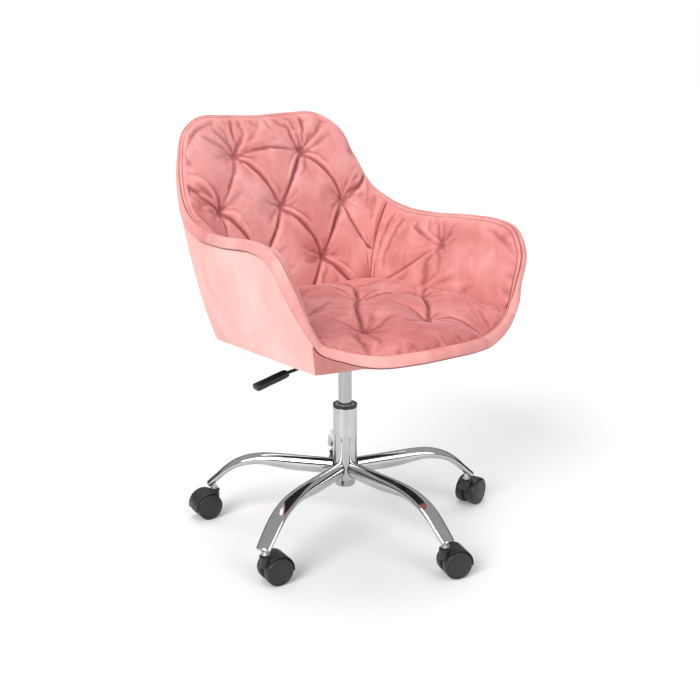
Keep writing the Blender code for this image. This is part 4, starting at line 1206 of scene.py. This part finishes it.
def make_casters():
    for i in range(1, LEG_COUNT + 1):
        stem, _ = joint(f"caster_{i}_swivel")
        _, axle = joint(f"wheel_{i}_left_roll")
        ahead = np.array([axle[1], -axle[0], 0.0])
        body = joined(f"caster_body_{i}", caster_body(stem, ahead, axle))
        finish_piece(body, f"caster_{i}", "black_nylon", f"caster_hood_{i}")
        pin = joined(f"caster_pin_{i}", [lathe(STEM_PROFILE, stem * (1, 1, 0), (0, 0, 1))])
        finish_piece(pin, "base", "zinc_plated_steel", f"caster_stem_{i}")
        for side, name in SIDES:
            middle, _ = joint(f"wheel_{i}_{name}_roll")
            wheel = joined(f"caster_roller_{i}_{name}", [lathe(WHEEL_PROFILE, middle, side * axle, 64)])
            finish_piece(wheel, f"wheel_{i}_{name}", "black_nylon", f"caster_wheel_{i}_{name}")


# from the column's axis: x, height
LEVER_ROUTE = ((-0.02, 0.385), (-0.06, 0.3812), (-0.107, 0.374), (-0.16, 0.366))
LEVER_R, LEVER_BAR_HALF = 0.0035, 0.032
LEVER_TAB_LOW, LEVER_TAB_HIGH = (-0.024, -0.006, 0.3811), (0.002, 0.006, 0.3851)
PADDLE_START, PADDLE_END = (-0.14, 0.369), (-0.213, 0.352)
# share of the paddle's length, half width, half height
PADDLE_STATIONS = (
    (0.0, 0.0068, 0.0044),
    (0.006, 0.0082, 0.0058),
    (0.05, 0.0086, 0.0064),
    (0.11, 0.009, 0.007),
    (0.3, 0.0096, 0.0071),
    (0.6, 0.0102, 0.0064),
    (0.88, 0.0108, 0.0066),
    (0.975, 0.0108, 0.0063),
    (0.992, 0.0104, 0.0058),
    (1.0, 0.0096, 0.005),
)


def make_lever():
    rows = smooth([(x, 0, z) for x, z in LEVER_ROUTE], 40)[:, [0, 2]]
    heading = unit(np.gradient(rows, axis=0))
    rod = ovals(rows, heading, [(LEVER_R, LEVER_R)] * len(rows), power=1.0)
    pivot = np.array([LEVER_ROUTE[0][0], 0.0, LEVER_ROUTE[0][1]])
    bar = [(LEVER_R - 0.0006, -LEVER_BAR_HALF), (LEVER_R, 0.0006 - LEVER_BAR_HALF)]
    bar += [(r, -y) for r, y in reversed(bar)]
    (x0, y0, z0), (x1, y1, z1) = LEVER_TAB_LOW, LEVER_TAB_HIGH
    tab = [[(x, y0, z0), (x, y1, z0), (x, y1, z1), (x, y0, z1)] for x in (x0, x1)]
    bar = lathe(bar, pivot + COLUMN, (0, 1, 0), 24)
    lever = joined("lever_arm", [shell(rod + COLUMN), bar, shell(tab + COLUMN)])
    finish_piece(lever, "lever", "black_nylon", "lever_rod")
    start, end = np.array(PADDLE_START), np.array(PADDLE_END)
    places = [start + share * (end - start) for share, _, _ in PADDLE_STATIONS]
    sizes = [station[1:] for station in PADDLE_STATIONS]
    grip = joined("lever_grip", [shell(ovals(places, [unit(end - start)] * len(places), sizes) + COLUMN)])
    finish_piece(grip, "lever", "black_nylon", "lever_paddle")


def make_base():
    make_legs()
    make_column()
    make_casters()
    make_lever()


# ---------------------------------------------------------------- stage


def sun_light(name, towards, strength, spread_deg):
    """A soft light from far away in one direction."""
    light = bpy.data.lights.new(name, "SUN")
    light.energy = strength
    light.angle = math.radians(spread_deg)
    obj = bpy.data.objects.new(name, light)
    obj.location = towards
    obj.rotation_euler = (-Vector(towards)).to_track_quat("-Z", "Y").to_euler()
    bpy.context.scene.collection.objects.link(obj)


def make_stage():
    bpy.ops.mesh.primitive_grid_add(size=40.0, x_subdivisions=2, y_subdivisions=2, location=(0, 0, 0))
    floor = bpy.context.object
    floor.name = "floor"
    n = new_material("floor")
    grey = n.ramp(n.noise(0.6, 2.0), (0.3, (0.93, 0.93, 0.93)), (0.7, (0.95, 0.95, 0.95)))
    floor.data.materials.append(n.surface(Base_Color=grey, Roughness=0.6))
    make_world()
    sun_light("key", (-2.6, -0.9, 1.9), 2.3, 34.0)
    sun_light("front", (0.4, -2.6, 1.4), 0.75, 30.0)
    sun_light("top", (0.3, 0.5, 2.8), 0.8, 40.0)


STUDIO_STRENGTH = 0.6
HORIZON = ((0.0, 0.55), (0.08, 0.04), (0.2, 0.04), (0.32, 0.95))  # the studio's grey at each height


def make_world():
    """A pale studio: white behind the object, and dimmer towards the horizon for what the chrome mirrors."""
    world = bpy.data.worlds.new("studio")
    bpy.context.scene.world = world
    n = Nodes(world)
    height = n.add("ShaderNodeSeparateXYZ", {0: n.coordinates["Generated"]}).outputs["Z"]
    grey = n.ramp(height, *[(position, (shade, shade, shade)) for position, shade in HORIZON])
    dim, output = n.tree.nodes["Background"], n.tree.nodes["World Output"]
    n.set(dim.inputs["Color"], grey)
    n.set(dim.inputs["Strength"], STUDIO_STRENGTH)
    white = n.add("ShaderNodeBackground", {"Color": (1.0, 1.0, 1.0, 1.0)})
    to_camera = n.add("ShaderNodeLightPath").outputs["Is Camera Ray"]
    mixed = n.add("ShaderNodeMixShader", {0: to_camera, 1: dim.outputs[0], 2: white.outputs[0]})
    n.set(output.inputs["Surface"], mixed.outputs[0])


CAMERA_PLACE, CAMERA_TURN_DEG = (-1.2113, -1.6934, 0.9894), (74.0, 0.0, -35.86)
LENS_MM, SENSOR_MM = 54.73, 36.0


def make_camera():
    data = bpy.data.cameras.new("camera")
    data.lens = LENS_MM
    data.sensor_width = SENSOR_MM
    camera = bpy.data.objects.new("camera", data)
    camera.location = COLUMN + np.array(CAMERA_PLACE)
    camera.rotation_euler = [math.radians(turn) for turn in CAMERA_TURN_DEG]
    bpy.context.scene.collection.objects.link(camera)
    bpy.context.scene.camera = camera
    bpy.context.scene.view_settings.view_transform = "Standard"


dress_cad_nodes()
make_camera()
make_stage()
make_upholstery()
make_base()
